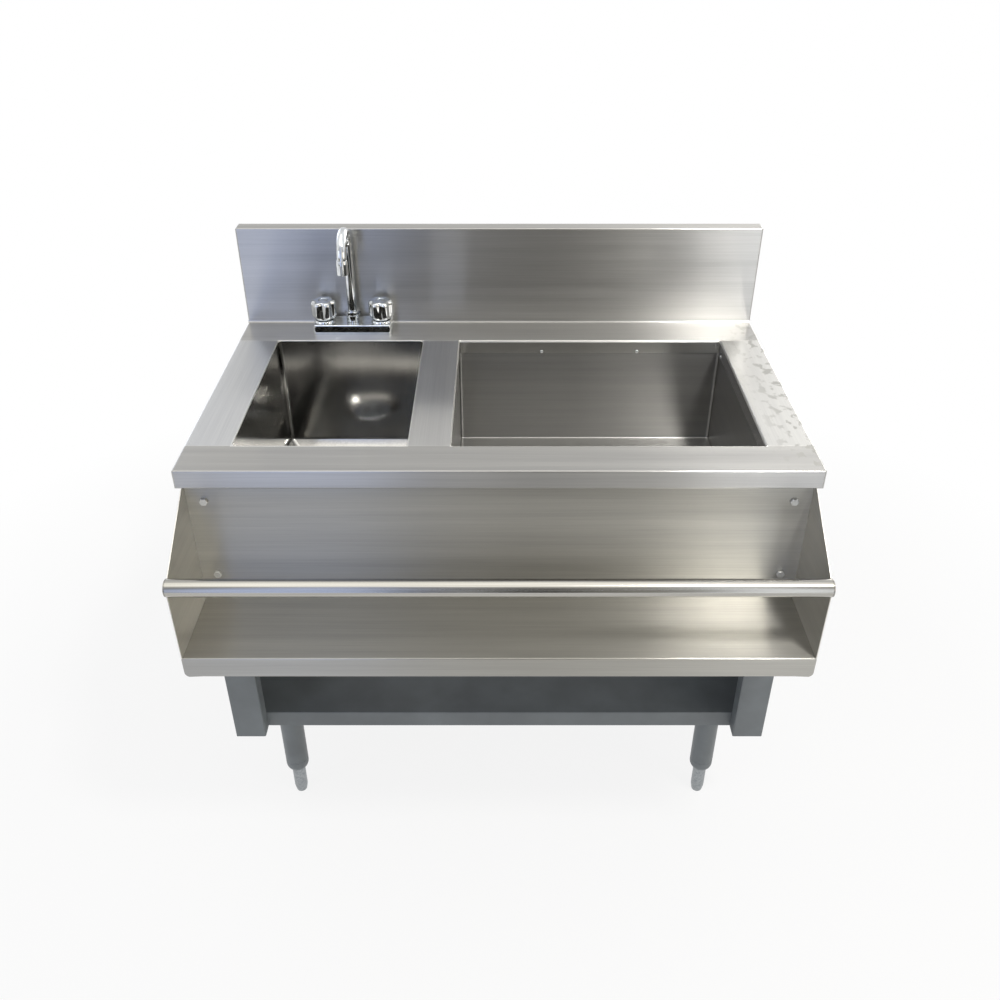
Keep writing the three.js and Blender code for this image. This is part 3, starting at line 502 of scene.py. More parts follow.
def towardsCircle(ring, radius, share, height):  # a ring drawn in, point by point, towards a circle
    points = []
    for point in ring:
        flat = Vector((point[0], point[1], 0))
        moved = flat.lerp(flat.normalized() * radius, share)
        points.append(Vector((moved.x, moved.y, height)))
    return points


def applied(thing):  # the object's modifiers worked into a plain mesh
    evaluated = thing.evaluated_get(bpy.context.evaluated_depsgraph_get())
    mesh = bpy.data.meshes.new_from_object(evaluated)
    mesh.name = thing.name
    thing.modifiers.clear()
    return mesh


def linked(name, data):
    thing = bpy.data.objects.new(name, data)
    bpy.context.scene.collection.objects.link(thing)
    return thing


# Set down at a point in mm, in its finish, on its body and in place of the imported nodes.
def place(mesh, material, replaced, at=(0, 0, 0), body="station", crease=32):
    mesh.transform(Matrix.Translation(Vector(at) * mm))
    mesh.materials.clear()
    mesh.materials.append(material)
    mesh.shade_smooth()
    mesh.set_sharp_from_angle(angle=math.radians(crease))
    piece = linked(mesh.name, mesh)
    weighted = piece.modifiers.new("evenShading", "WEIGHTED_NORMAL")
    weighted.keep_sharp = True
    piece.data = applied(piece)
    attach(piece, body)
    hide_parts(*replaced)
    return piece


# Whether a face runs on well past an edge: at a sheet's cut edge one of the two faces does not.
def runsOn(surface, edge, face, sheet):
    loop = next(loop for loop in edge.link_loops if loop.face == face)
    along = (loop.link_loop_next.vert.co - loop.vert.co).normalized()
    inwards = face.normal.cross(along)
    middle = (edge.verts[0].co + edge.verts[1].co) / 2
    lift = 0.5 * mm
    probe = middle + inwards * max(sheet * 1.7, 0.05) * mm + face.normal * lift
    hit = surface.ray_cast(probe, -face.normal)
    return hit[0] is not None and abs(hit[3] - lift) < 0.02 * mm


# A packed sheet piece with its bends rounded and its cut edges dressed, its flat faces still flat.
# soft lists boxes (low corner, high corner, width) whose edges get a width of their own; cuts lists
# planes through the holes (axis, position), so that no flat face is left as a ring.
def dressed(node, bend, inner=1.0, rim=0.3, sheet=1.5, soft=(), cuts=(), moved=None):
    shape = bmesh.new()
    shape.from_mesh(nodes[node].data)
    bmesh.ops.remove_doubles(shape, verts=shape.verts, dist=0.01 * mm)
    if moved:
        for vert in shape.verts:
            vert.co = moved(vert.co)
    surface = BVHTree.FromBMesh(shape)
    for axis, position in cuts:
        facing = Vector([float(i == axis) for i in range(3)])
        everything = [*shape.verts, *shape.edges, *shape.faces]
        spot = facing * position * mm
        bmesh.ops.bisect_plane(shape, geom=everything, dist=0.02 * mm, plane_co=spot, plane_no=facing)
        for edge in shape.edges:
            if all(abs(vert.co[axis] - position * mm) < 0.03 * mm for vert in edge.verts):
                edge.seam = True
    bmesh.ops.dissolve_limit(
        shape, angle_limit=math.radians(0.5), verts=shape.verts, edges=shape.edges, delimit={"NORMAL", "SEAM"}
    )
    widest = max(bend, inner, *[box[2] for box in soft], 0.01)
    weight = shape.edges.layers.float.new("bevel_weight_edge")
    for edge in shape.edges:
        if len(edge.link_faces) != 2 or abs(edge.calc_face_angle_signed()) < math.radians(30):
            continue
        width = bend if edge.calc_face_angle_signed() > 0 else inner
        if not all(runsOn(surface, edge, face, sheet) for face in edge.link_faces):
            width = 0.0
        middle = (edge.verts[0].co + edge.verts[1].co) / 2 / mm
        for low, high, own in soft:
            if all(low[i] <= middle[i] <= high[i] for i in range(3)):
                width = own
        edge[weight] = width / widest
    mesh = bpy.data.meshes.new(node + "_sheet")
    shape.to_mesh(mesh)
    shape.free()
    mesh.shade_smooth()
    thing = linked(node + "_dressed", mesh)
    for name, limit, width in (("folds", "WEIGHT", widest), ("cutEdges", "ANGLE", rim)):
        rounded = thing.modifiers.new(name, "BEVEL")
        rounded.limit_method = limit
        rounded.angle_limit = math.radians(50)
        rounded.width = width * mm
        rounded.segments = 3
        rounded.use_clamp_overlap = False
    result = applied(thing)
    bpy.data.objects.remove(thing)
    return result


def dress(node, sizes, finish):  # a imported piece, dressed and put in its own place
    return place(dressed(node, **sizes), finish, [node])


# Geometry Nodes

def startTree(name, inputs, output):  # inputs: name and kind of each socket
    tree = bpy.data.node_groups.new(name, "GeometryNodeTree")
    for socket, kind in inputs.items():
        tree.interface.new_socket(socket, in_out="INPUT", socket_type="NodeSocket" + kind)
    tree.interface.new_socket(output, in_out="OUTPUT", socket_type="NodeSocketGeometry")
    return tree, addNode(tree, "NodeGroupInput")


def finishTree(tree, shape, given):  # real geometry in its finish
    real = addNode(tree, "GeometryNodeRealizeInstances", {0: shape})[0]
    finished = addNode(tree, "GeometryNodeSetMaterial", {"Geometry": real, "Material": given["Finish"]})
    addNode(tree, "NodeGroupOutput", {0: finished[0]})
    return tree


def makeRepeatTree():  # one part set down at each point of a mesh, turned by the point's own "turn"
    inputs = {"Places": "Geometry", "Part": "Object", "Size": "Float", "Finish": "Material"}
    tree, given = startTree("repeatedPart", inputs, "Parts")
    part = addNode(tree, "GeometryNodeObjectInfo", {"Object": given["Part"]})["Geometry"]
    turn = addNode(tree, "GeometryNodeInputNamedAttribute", {"Name": "turn"}, data_type="FLOAT_VECTOR")
    rotation = addNode(tree, "FunctionNodeEulerToRotation", {0: turn["Attribute"]})[0]
    spots = {"Points": given["Places"], "Instance": part, "Rotation": rotation, "Scale": given["Size"]}
    return finishTree(tree, addNode(tree, "GeometryNodeInstanceOnPoints", spots)[0], given)


repeatTree = makeRepeatTree()


def grown(thing, tree, inputs):  # the object's tree run with these inputs, and the result as a plain mesh
    modifier = thing.modifiers.new(tree.name, "NODES")
    modifier.node_group = tree
    for item in tree.interface.items_tree:  # inputs are set by their sockets' identifiers
        if item.item_type == "SOCKET" and item.in_out == "INPUT" and item.name in inputs:
            modifier[item.identifier] = inputs[item.name]
    mesh = applied(thing)
    bpy.data.objects.remove(thing)
    return mesh


def repeated(name, template, finish, places):  # places: (point, turn in degrees)
    spots = bpy.data.meshes.new(name + "_spots")
    spots.from_pydata([Vector(point) * mm for point, turn in places], [], [])
    turns = spots.attributes.new("turn", "FLOAT_VECTOR", "POINT")
    for i, (point, turn) in enumerate(places):
        turns.data[i].vector = [math.radians(angle) for angle in turn]
    part = linked("part", template)
    mesh = grown(linked(name + "_source", spots), repeatTree, {"Part": part, "Size": 1.0, "Finish": finish})
    mesh.name = name
    bpy.data.objects.remove(part)
    return mesh


# worktop and backsplash

sink = {"middle": (-260.5, 39.4), "half": (127, 178)}  # the opening, which the bowl hangs under
rivetHoles = ((-75, -144, 776.6), (392, 223, 781.4), 0.0)
worktop = {
    "bend": 2.6,
    "soft": [((-392, -143, 799.9), (-129, 222, 800.1), 1.0), rivetHoles],
    "cuts": [(0, -311.3), (0, -260.5), (0, -209.7), (0, 75), (0, 159), (0, 243), (1, 195.4)],
}
tightening = {"was": 16, "now": 7}  # the sink opening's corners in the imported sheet, and here, as in the bowl


def tightened(point):  # a point of the opening's corners, drawn out towards the sharper corner
    x, y, z = point / mm
    was, now = tightening["was"], tightening["now"]
    middleX, middleY = sink["middle"]
    halfX, halfY = sink["half"]
    aside, ahead = x - middleX, y - middleY
    past = (abs(aside) - halfX + was, abs(ahead) - halfY + was)
    if min(past) < -0.01 or math.hypot(*past) > was + 0.1:
        return point
    x = middleX + math.copysign(halfX - now + past[0] * now / was, aside)
    y = middleY + math.copysign(halfY - now + past[1] * now / was, ahead)
    return Vector((x, y, z)) * mm


dress("worktop", dict(worktop, moved=tightened), steelWorktop)

splash = {"bend": 2.6}
cove = {"radius": 4.0, "front": 296.4, "half": 457, "foot": 800.02}


def makeCove(sizes):  # the hollow fillet where the backsplash meets the worktop
    radius, y, z = sizes["radius"], sizes["front"], sizes["foot"]
    outline = [(y + 0.4, z), (y + 0.4, z + radius)]
    for step in range(7):
        angle = math.pi / 2 * step / 6
        outline.append((y - radius + radius * math.cos(angle), z + radius - radius * math.sin(angle)))
    return [[(x, y, z) for y, z in outline] for x in (-sizes["half"], sizes["half"])]


dress("backsplash", splash, steelAlong)
place(loft("backsplash_cove", makeCove(cove)), steelAlong, [])
print("worktop made")


# sink bowl

bowl = {
    "at": (*sink["middle"], 0),
    "half": sink["half"],
    "corner": tightening["now"],
    "sheet": 1.2,
    "rim": 10,
    "top": 798.45,
    "coveTop": 603,  # where the walls begin to turn in
    "coves": [(7, 37), (64, 90)],  # radius and the slope it ends at: a quick turn, then a slow one
    "bulge": 0.8,  # the drawn walls belly out a little, most near the top
    "dish": 58,  # where the floor turns down to the drain
    "lip": 0.8,  # the floor falls by this much towards the dish
    "recess": (42, 566),  # radius and height
    "recessFloor": (39, 563),
    "hole": 24.3,
    "seat": 1.2,
}


def bowlSide(sizes, offset):  # rings from the rim down to the drain's hole, on one face of the sheet
    halfX, halfY = (half + offset for half in sizes["half"])
    corner = sizes["corner"] + offset
    top, coveTop = sizes["top"], sizes["coveTop"]
    rings = []
    for step in range(17):
        t = step / 16
        bulge = sizes["bulge"] * math.sin(math.pi * t ** 0.6)
        rings.append(roundedRing(halfX, halfY, corner, top + (coveTop - top) * t, bulge))
    inset, height, slope = 0, coveTop, 0  # each curve goes on from the slope that the last one reached
    for radius, end in sizes["coves"]:
        radius += offset
        start = slope
        for step in range(1, 9):
            before, slope = slope, start + (math.radians(end) - start) * step / 8
            inset += radius * (math.cos(before) - math.cos(slope))
            height -= radius * (math.sin(slope) - math.sin(before))
            rings.append(roundedRing(halfX - inset, halfY - inset, corner, height))
    floor = rings[-1]
    floorZ = floor[0].z
    recess, recessZ = sizes["recess"]
    lipZ = floorZ - sizes["lip"]
    for step in range(1, 6):
        rings.append(towardsCircle(floor, sizes["dish"], step / 5, floorZ + (lipZ - floorZ) * step / 5))
    for step in range(1, 6):
        t = step / 5
        ease = (1 - math.cos(math.pi * t)) / 2
        radius = sizes["dish"] + (recess + offset - sizes["dish"]) * t
        rings.append(towardsCircle(floor, radius, 1, lipZ + (recessZ - offset - lipZ) * ease))
    lowest, lowestZ = sizes["recessFloor"]
    rings.append(towardsCircle(floor, lowest + offset, 1, lowestZ - offset))
    rings.append(towardsCircle(floor, sizes["hole"], 1, lowestZ - offset))
    return rings


def makeBowl(sizes):
    inside = bowlSide(sizes, 0)
    outside = bowlSide(sizes, sizes["sheet"])
    reach = sizes["rim"] + sizes["sheet"]
    under = sizes["top"] - sizes["sheet"]
    edge = [half + reach for half in sizes["half"]]
    flangeTop = roundedRing(*edge, sizes["corner"] + reach, sizes["top"])
    flangeFoot = roundedRing(*edge, sizes["corner"] + reach, under)
    wall = [half + sizes["sheet"] for half in sizes["half"]]
    outside[0] = roundedRing(*wall, sizes["corner"] + sizes["seat"], under)
    return loft("sink_bowl_drawn", [flangeTop, *inside, *reversed(outside), flangeFoot], loop=True)


place(makeBowl(bowl), steelDrawn, ["sink_bowl"], bowl["at"])

drain = {
    "at": (*sink["middle"], 563),
    "flange": [
        (17, -55, 0), (20, -55, 0.5), (20, -24, 0), (24, -24, 0.5), (24, 0.3, 0), (38, 0.3, 0),
        (36.3, 2, 1.2), (21, 2, 1.2), (21, -8, 0), (17, -8, 0.8),
    ],
    "strainer": [
        (0, -7.7, 0), (20.7, -7.7, 0.3), (20.7, -6.2, 0.5), (3, -6.2, 0.6), (3, 2.8, 0.5),
        (6, 2.8, 0.8), (6, 6.3, 1.4), (0, 6.3, 0),
    ],
    "perforation": 2.2,  # radius
    "perforationCircle": 11.85,
    "perforations": 6,
    "plate": -7,  # height of the strainer's plate
    "punch": 4,
    "tailpiece": [(15.2, -159, 0.3), (16.7, -159, 0.3), (16.7, -39, 0.3), (15.2, -39, 0.3)],
}


def makePerforationTree(sizes):  # round holes on a circle, cut through a plate
    inputs = {"Plate": "Geometry", "Holes": "Int", "Hole radius": "Float", "Circle radius": "Float"}
    inputs["Finish"] = "Material"
    tree, given = startTree("perforatedPlate", inputs, "Strainer")
    circle = {"Vertices": given["Holes"], "Radius": given["Circle radius"]}
    spots = addNode(tree, "GeometryNodeMeshCircle", circle)[0]
    punch = {"Vertices": 20, "Depth": sizes["punch"] * mm, "Radius": given["Hole radius"]}
    punch = addNode(tree, "GeometryNodeMeshCylinder", punch)[0]
    punches = addNode(tree, "GeometryNodeInstanceOnPoints", {"Points": spots, "Instance": punch})[0]
    real = addNode(tree, "GeometryNodeRealizeInstances", {0: punches})[0]
    lift = (Vector(sizes["at"]) + Vector((0, 0, sizes["plate"]))) * mm
    moved = addNode(tree, "GeometryNodeTransform", {"Geometry": real, "Translation": lift})[0]
    cut = {"Mesh 1": given["Plate"], "Mesh 2": moved}
    cut = addNode(tree, "GeometryNodeMeshBoolean", cut, operation="DIFFERENCE", solver="EXACT")[0]
    return finishTree(tree, cut, given)


def makeStrainer(sizes):
    plate = lathe("strainer_plate", sizes["strainer"], 60)
    plate.transform(Matrix.Translation(Vector(sizes["at"]) * mm))
    holes = {
        "Holes": sizes["perforations"],
        "Hole radius": sizes["perforation"] * mm,
        "Circle radius": sizes["perforationCircle"] * mm,
        "Finish": chrome,
    }
    mesh = grown(linked(plate.name, plate), makePerforationTree(sizes), holes)
    mesh.name = "sink_strainer_perforated"
    return mesh


drainBody = lathe("sink_drain_body", drain["flange"])
place(drainBody, chrome, ["sink_drain_flange"], drain["at"])
place(makeStrainer(drain), chrome, ["sink_strainer"], body="strainer")
tailpiece = lathe("sink_tailpiece_tube", drain["tailpiece"])
place(tailpiece, chrome, ["sink_tailpiece"], drain["at"])
nut = {"bend": 0.5, "inner": 0.3, "rim": 0.5, "sheet": 0}
dress("sink_drain_nut", nut, brass)
print("sink made")


# ice bin

liner = {
    "bend": 3.2, "inner": 3.0, "rim": 0.2, "sheet": 1.2,
    "soft": [rivetHoles], "cuts": [(0, 75), (0, 159), (0, 243), (1, 195.4)],
}
jacket = {"bend": 1.6, "inner": 0.8, "rim": 0.2, "sheet": 1.0, "cuts": [(0, 159)]}
dress("bin_liner", liner, steelBin)
dress("bin_jacket", jacket, zinc)

binDrain = {
    "at": (159, 39.4, 0),
    "fitting": [
        (10.5, 550.2, 0.3), (12.5, 550.2, 0.3), (12.5, 601.3, 0), (20.5, 601.3, 0), (19.5, 603.3, 0.9),
        (10.5, 603.3, 0.8),
    ],
}
fitting = lathe("bin_drain_pipe", binDrain["fitting"])
place(fitting, steelPolished, ["bin_drain_fitting"], binDrain["at"])
dress("bin_drain_nut", nut, brass)

# blind rivets that hold the liner to the worktop's turned-down edge; z 0 on the opening's face
rivet = {
    "shape": [
        (0, -4.7, 0), (3, -4.7, 0.8), (3, -3.3, 0.2), (1.6, -3.3, 0), (1.6, 0.3, 0), (3, 0.3, 0.2),
        (3, 0.7, 0.6), (2.3, 1.45, 0.8), (1.1, 1.7, 0.3), (0.8, 1.1, 0.1), (0, 1.1, 0),
    ],
    "height": 779,
    "places": [(75, 217.4, 0), (243, 217.4, 0), (387.5, 195.4, -90)],
    "nodes": ["bin_rivet_back_left", "bin_rivet_back_right", "bin_rivet_right"],
}
rivetSpots = [((x, y, rivet["height"]), (90, 0, turn)) for x, y, turn in rivet["places"]]
rivets = repeated("bin_rivets", lathe("rivet", rivet["shape"], 24), rivetAluminium, rivetSpots)
place(rivets, rivetAluminium, rivet["nodes"])
print("ice bin made")


# side panels, undershelf and legs

sides = (("left", -1), ("right", 1))
panel = {"bend": 2.2, "inner": 0.8, "bolts": 429.7, "holes": 550.2}
for side, sign in sides:
    cuts = [(0, sign * panel["bolts"]), (2, panel["holes"])]
    sizes = {"bend": panel["bend"], "inner": panel["inner"], "cuts": cuts}
    dress(f"side_panel_{side}", sizes, paint)
dress("undershelf", {"bend": 2.0, "inner": 0.8, "sheet": 1.2, "cuts": [(0, 0)]}, paint)

leg = {
    "x": 381,
    "y": {"front": -92.4, "rear": 223.4},
    "flange": [
        (0, 260.5, 0), (20.9, 260.5, 0), (20.9, 240.5, 0), (23.4, 240.5, 1), (23.4, 260.5, 1.5),
        (42, 260.5, 1), (42, 263.5, 0.5), (0, 263.5, 0),
    ],
    "tube": [(19.1, 88.2, 0.2), (20.6, 88.2, 0.4), (20.6, 260.2, 0), (19.1, 260.2, 0)],
    "foot": [
        (0, 0, 0), (9.5, 0, 1.5), (12, 14, 3), (12, 65.6, 0.8), (6, 65.6, 0), (6, 109.6, 0.8), (0, 109.6, 0),
    ],
}
rounding = [math.pi / 2 * step / 8 for step in range(9)]
leg["collar"] = [(6.3, 65.9, 0)]
leg["collar"] += [(12 + 8.6 * math.sin(a), 65.9 + 13 * (1 - math.cos(a)), 0) for a in rounding]
leg["collar"] += [(20.6, 87.9, 0.4), (18.8, 87.9, 0), (18.8, 112.2, 0.4), (6.3, 112.2, 0)]
corners = [(end, side, leg["x"] * sign, y) for end, y in leg["y"].items() for side, sign in sides]
legSpots = [((x, y, 0), (0, 0, 0)) for end, side, x, y in corners]
legParts = [
    ("leg_flanges", "flange", zincPlated, "galvanised_steel", "leg_flange_"),
    ("leg_tubes", "tube", paint, "grey_paint", "leg_tube_"),
    ("leg_collars", "collar", paint, "grey_paint", "leg_collar_"),
]
for name, part, finish, slot, node in legParts:
    mesh = repeated(name, lathe(part, leg[part], 64), finish, legSpots)
    place(mesh, finish, [f"{node}{end}_{side}" for end, side, x, y in corners])
for end, side, x, y in corners:
    foot = lathe(f"foot_{end}_{side}_turned", leg["foot"], 56)
    body, node = f"levelling_foot_{end}_{side}", f"foot_{end}_{side}"
    place(foot, zincPlated, [node], (x, y, 0), body)
print("frame and legs made")


# bottle rail

rail = {"bend": 2.2, "inner": 0.8, "cuts": [(0, -429.7), (0, 429.7)]}
# the end plates take the paler steel, which is painted light
for part, finish in (
    ("back_panel", steelRail), ("shelf", steelRail), ("end_left", steelEndsPaintedLight), ("end_right", steelEndsPaintedLight),
):
    dress(f"rail_{part}", rail, finish)

bar = {
    "at": (0, -310.7, 677),
    "tube": [(11.2, -455.2, 0), (12.7, -455.2, 0.3), (12.7, 455.2, 0.3), (11.2, 455.2, 0)],
    "cap": [
        (0, 449.5, 0), (10.9, 449.5, 0.5), (10.9, 455.5, 0), (12.7, 455.5, 0.3), (12.7, 457, 1.0),
        (0, 457, 0),
    ],
}
barTube = lathe("rail_bar_tube", bar["tube"], 64, "X")
place(barTube, steelPolished, ["rail_bar"], bar["at"])
for side, sign in sides:
    outline = [(radius, sign * along, soft) for radius, along, soft in bar["cap"]]
    cap = lathe(f"rail_bar_{side}_cap", outline, 64, "X")
    place(cap, steelPolished, [f"rail_bar_cap_{side}"], bar["at"])

# hexagon bolts through the rail's back into the uprights; z 0 under the head, the shank towards +Z
bolt = {"acrossFlats": 11, "head": 4.5, "radius": 3, "shank": 12.6, "x": 429.7, "y": -176.8, "z": (729, 595)}


def hexRing(acrossFlats, height, limit, count=96):  # a hexagon whose corners are cut back to a circle
    points = []
    for i in range(count):
        angle = 2 * math.pi * i / count
        fromFlat = angle % (math.pi / 3) - math.pi / 6
        radius = min(acrossFlats / 2 / math.cos(fromFlat), limit)
        points.append((radius * math.cos(angle), radius * math.sin(angle), height))
    return points


def makeBolt(sizes):
    flats = sizes["acrossFlats"]
    corner = flats / math.sqrt(3)
    rings = [
        hexRing(flats, -sizes["head"], flats / 2 * 0.94),
        hexRing(flats, -sizes["head"] + 0.7, corner),
        hexRing(flats, 0, corner),
        roundRing(sizes["radius"], 0),
        roundRing(sizes["radius"], sizes["shank"] - 0.6),
        roundRing(sizes["radius"] - 0.6, sizes["shank"]),
    ]
    return loft("bolt", rings)


boltSpots = [((side * bolt["x"], bolt["y"], z), (-90, 0, 0)) for z in bolt["z"] for side in (-1, 1)]
boltNodes = [f"rail_bolt_{level}_{side}" for level in ("upper", "lower") for side in ("left", "right")]
bolts = repeated("rail_bolts", makeBolt(bolt), boltZinc, boltSpots)
place(bolts, boltZinc, boltNodes)
print("bottle rail made")


# faucet; its pieces stand on the spout's axis with z 0 on the worktop

faucet = {"at": (sink["middle"][0], 265.4, 800), "valves": 50.8}

cover = {
    "half": (69.5, 23.5), "corner": 5, "foot": 0.3, "top": 17, "round": 1.8, "wall": 1.5,
    "lean": (1.2, 1.9),  # how far the ends and the long sides lean in
}


def makeCover(sizes):
    halfX, halfY = sizes["half"]
    corner, wall, foot, top = sizes["corner"], sizes["wall"], sizes["foot"], sizes["top"]
    inner = (halfX - wall, halfY - wall, corner - wall)
    rings = [roundedRing(*inner, top - wall), roundedRing(*inner, foot)]
    rings.append(roundedRing(halfX, halfY, corner, foot))
    leanX, leanY = sizes["lean"]
    for step in range(6):
        angle = math.pi / 2 * step / 5
        inset = sizes["round"] * (1 - math.cos(angle))
        height = top - sizes["round"] * (1 - math.sin(angle))
        drawnIn = (halfX - leanX - inset, halfY - leanY - inset, corner - leanX - inset)
        rings.append(roundedRing(*drawnIn, height))
    return loft("faucet_cover_cast", rings)


place(makeCover(cover), chrome, ["faucet_cover"], faucet["at"])
waterway = {
    "bend": 0.8, "inner": 0.4, "rim": 0.4, "sheet": 0, "cuts": [(0, -311.3), (0, -260.5), (0, -209.7)],
}
dress("faucet_waterway", waterway, brass)

valve = [
    (0, 15.5, 0), (9.5, 15.5, 0), (9.5, 17.3, 0), (19, 17.3, 0.4), (17.5, 21.3, 1.2), (9.5, 21.3, 0),
    (9.5, 27.3, 0.5), (5, 27.3, 0), (5, 45.9, 0.5), (0, 45.9, 0),
]
knob = {
    "lobes": 6,
    "hollowShape": 1.3,  # above 1 the lobes are broad and the hollows narrow
    # reach at a lobe, depth of the hollow beside it, height
    "levels": [
        (17.4, 0.9, 23.3), (18.0, 1.125, 23.7), (20.4, 3.2, 26.0), (21.6, 4.6, 28.2), (22, 5.4, 30.5),
        (22, 5.4, 36), (22, 5.4, 42), (22, 5.4, 48.5), (21.9, 5.4, 50.3), (21.6, 5.2, 51.9),
        (21.0, 4.9, 53.4), (19.9, 4.3, 54.9), (18.2, 3.4, 55.9), (15.5, 2.25, 56.3),
    ],
    "bores": [(5.3, 46.2), (5.3, 27.6), (10.1, 27.6), (10.1, 23.3)],
    "capSeat": [(8.3, 56.3), (8.3, 53.6)],
    "cap": [(0, 53.9, 0), (8, 53.9, 0), (8, 55.3, 0.5), (5.5, 56.0, 1.5), (2.5, 56.3, 1), (0, 56.3, 0)],
}


def lobedRing(reach, hollow, height, sizes, count=144):
    points = []
    for i in range(count):
        angle = 2 * math.pi * i / count
        radius = reach - hollow * ((1 - math.cos(sizes["lobes"] * angle)) / 2) ** sizes["hollowShape"]
        points.append((radius * math.cos(angle), radius * math.sin(angle), height))
    return points


def makeKnob(name, sizes):
    rings = [roundRing(radius, height, 144) for radius, height in sizes["bores"]]
    rings += [lobedRing(*level, sizes) for level in sizes["levels"]]
    rings += [roundRing(radius, height, 144) for radius, height in sizes["capSeat"]]
    return loft(name, rings)


for name, side in (("hot", -1), ("cold", 1)):
    x, y, z = faucet["at"]
    at = (x + side * faucet["valves"], y, z)
    place(lathe(f"{name}_valve_turned", valve), chrome, [f"{name}_valve"], at)
    handle = f"{name}_handle"
    place(makeKnob(f"{name}_knob_cast", knob), chrome, [f"{name}_knob"], at, handle, 40)
    knobCap = lathe(f"{name}_knob_button", knob["cap"], 48)
    place(knobCap, chrome, [f"{name}_knob_cap"], at, handle)
    dress(f"{name}_locknut", nut, brass)

spoutNut = {
    "bore": 8.2, "round": 11.5, "foot": 17.3, "hexFoot": 30.3, "top": 37.3, "acrossFlats": 24.2,
    "ends": (12.1, 11.9),  # radius that cuts the hexagon's corners back, at its foot and top
}


def makeSpoutNut(sizes):
    flats, foot, top, low = sizes["acrossFlats"], sizes["foot"], sizes["top"], sizes["hexFoot"]
    corner = flats / math.sqrt(3)
    lowEnd, topEnd = sizes["ends"]
    rings = [
        roundRing(sizes["bore"], foot), roundRing(sizes["round"] - 0.4, foot),
        roundRing(sizes["round"], foot + 0.4), roundRing(sizes["round"], low - 0.6),
        hexRing(flats, low, lowEnd), hexRing(flats, low + 0.9, corner),
        hexRing(flats, top - 0.9, corner), hexRing(flats, top, topEnd), roundRing(sizes["bore"], top),
    ]
    return loft("spout_nut_turned", rings, loop=True)


place(makeSpoutNut(spoutNut), chrome, ["spout_nut"], faucet["at"], crease=40)

gooseneck = {"radius": 7.9, "foot": 5.3, "rise": 155, "bend": 34, "drop": 9, "sides": 48}


def makePath(sizes):  # up, half a turn towards the user, and down into the aerator
    x, y, z = faucet["at"]
    points = [(0, sizes["foot"]), (0, 60), (0, 110)]
    for step in range(41):
        angle = math.pi * step / 40
        away = sizes["bend"] * (1 - math.cos(angle))
        points.append((-away, sizes["rise"] + sizes["bend"] * math.sin(angle)))
    points.append((-2 * sizes["bend"], sizes["rise"] - sizes["drop"]))
    return [Vector((x, y + across, z + up)) * mm for across, up in points]


def makeTubeTree():
    inputs = {"Path": "Geometry", "Radius": "Float", "Sides": "Int", "Finish": "Material"}
    tree, given = startTree("tubeAlongPath", inputs, "Tube")
    section = {"Resolution": given["Sides"], "Radius": given["Radius"]}
    circle = addNode(tree, "GeometryNodeCurvePrimitiveCircle", section)[0]
    sweep = {"Curve": given["Path"], "Profile Curve": circle, "Fill Caps": True}
    return finishTree(tree, addNode(tree, "GeometryNodeCurveToMesh", sweep)[0], given)


def makeSpout(sizes):
    points = makePath(sizes)
    curve = bpy.data.curves.new("spoutPath", "CURVE")
    curve.dimensions = "3D"
    line = curve.splines.new("POLY")
    line.points.add(len(points) - 1)
    for spot, point in zip(line.points, points):
        spot.co = (*point, 1)
    section = {"Radius": sizes["radius"] * mm, "Sides": sizes["sides"], "Finish": chrome}
    return cleaned(grown(linked("spout_swept", curve), makeTubeTree(), section))


place(makeSpout(gooseneck), chrome, ["spout"], body="swivel_spout")

aerator = [
    (0, 144.1, 0), (8.2, 144.1, 0), (8.2, 130, 0.4), (9.8, 130, 0.6), (9.8, 149, 0.8), (9.0, 155, 0.6),
    (8.2, 155, 0), (8.2, 145.7, 0), (0, 145.7, 0),
]
x, y, z = faucet["at"]
aeratorAt = (x, y - 2 * gooseneck["bend"], z)
aeratorBody = lathe("spout_aerator_turned", aerator)
place(aeratorBody, chrome, ["spout_aerator"], aeratorAt, "swivel_spout")
print("faucet made")


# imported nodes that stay, hidden between the others: only their finish is new

for node, finish in (("bin_insulation", foam), ("sink_drain_gasket", rubber)):
    for slot in nodes[node].material_slots:
        slot.material = finish


# floor, studio light and backdrop

# The sheet ends in front of the station, where only reflections reach: beyond it lies the dim room.
floorLook = {
    "near": -1.7, "far": 2.6, "half": 2.6, "colour": "#e9e9e8", "roughness": (0.6, 0.7),
    "lift": 0.85, "fade": (1.0, 1.65),
}


def shinyRays(tree, rays):  # what mirrors and glass see
    seen = {0: rays["Is Glossy Ray"], 1: rays["Is Transmission Ray"]}
    return addNode(tree, "Math", seen, operation="MAXIMUM")[0]


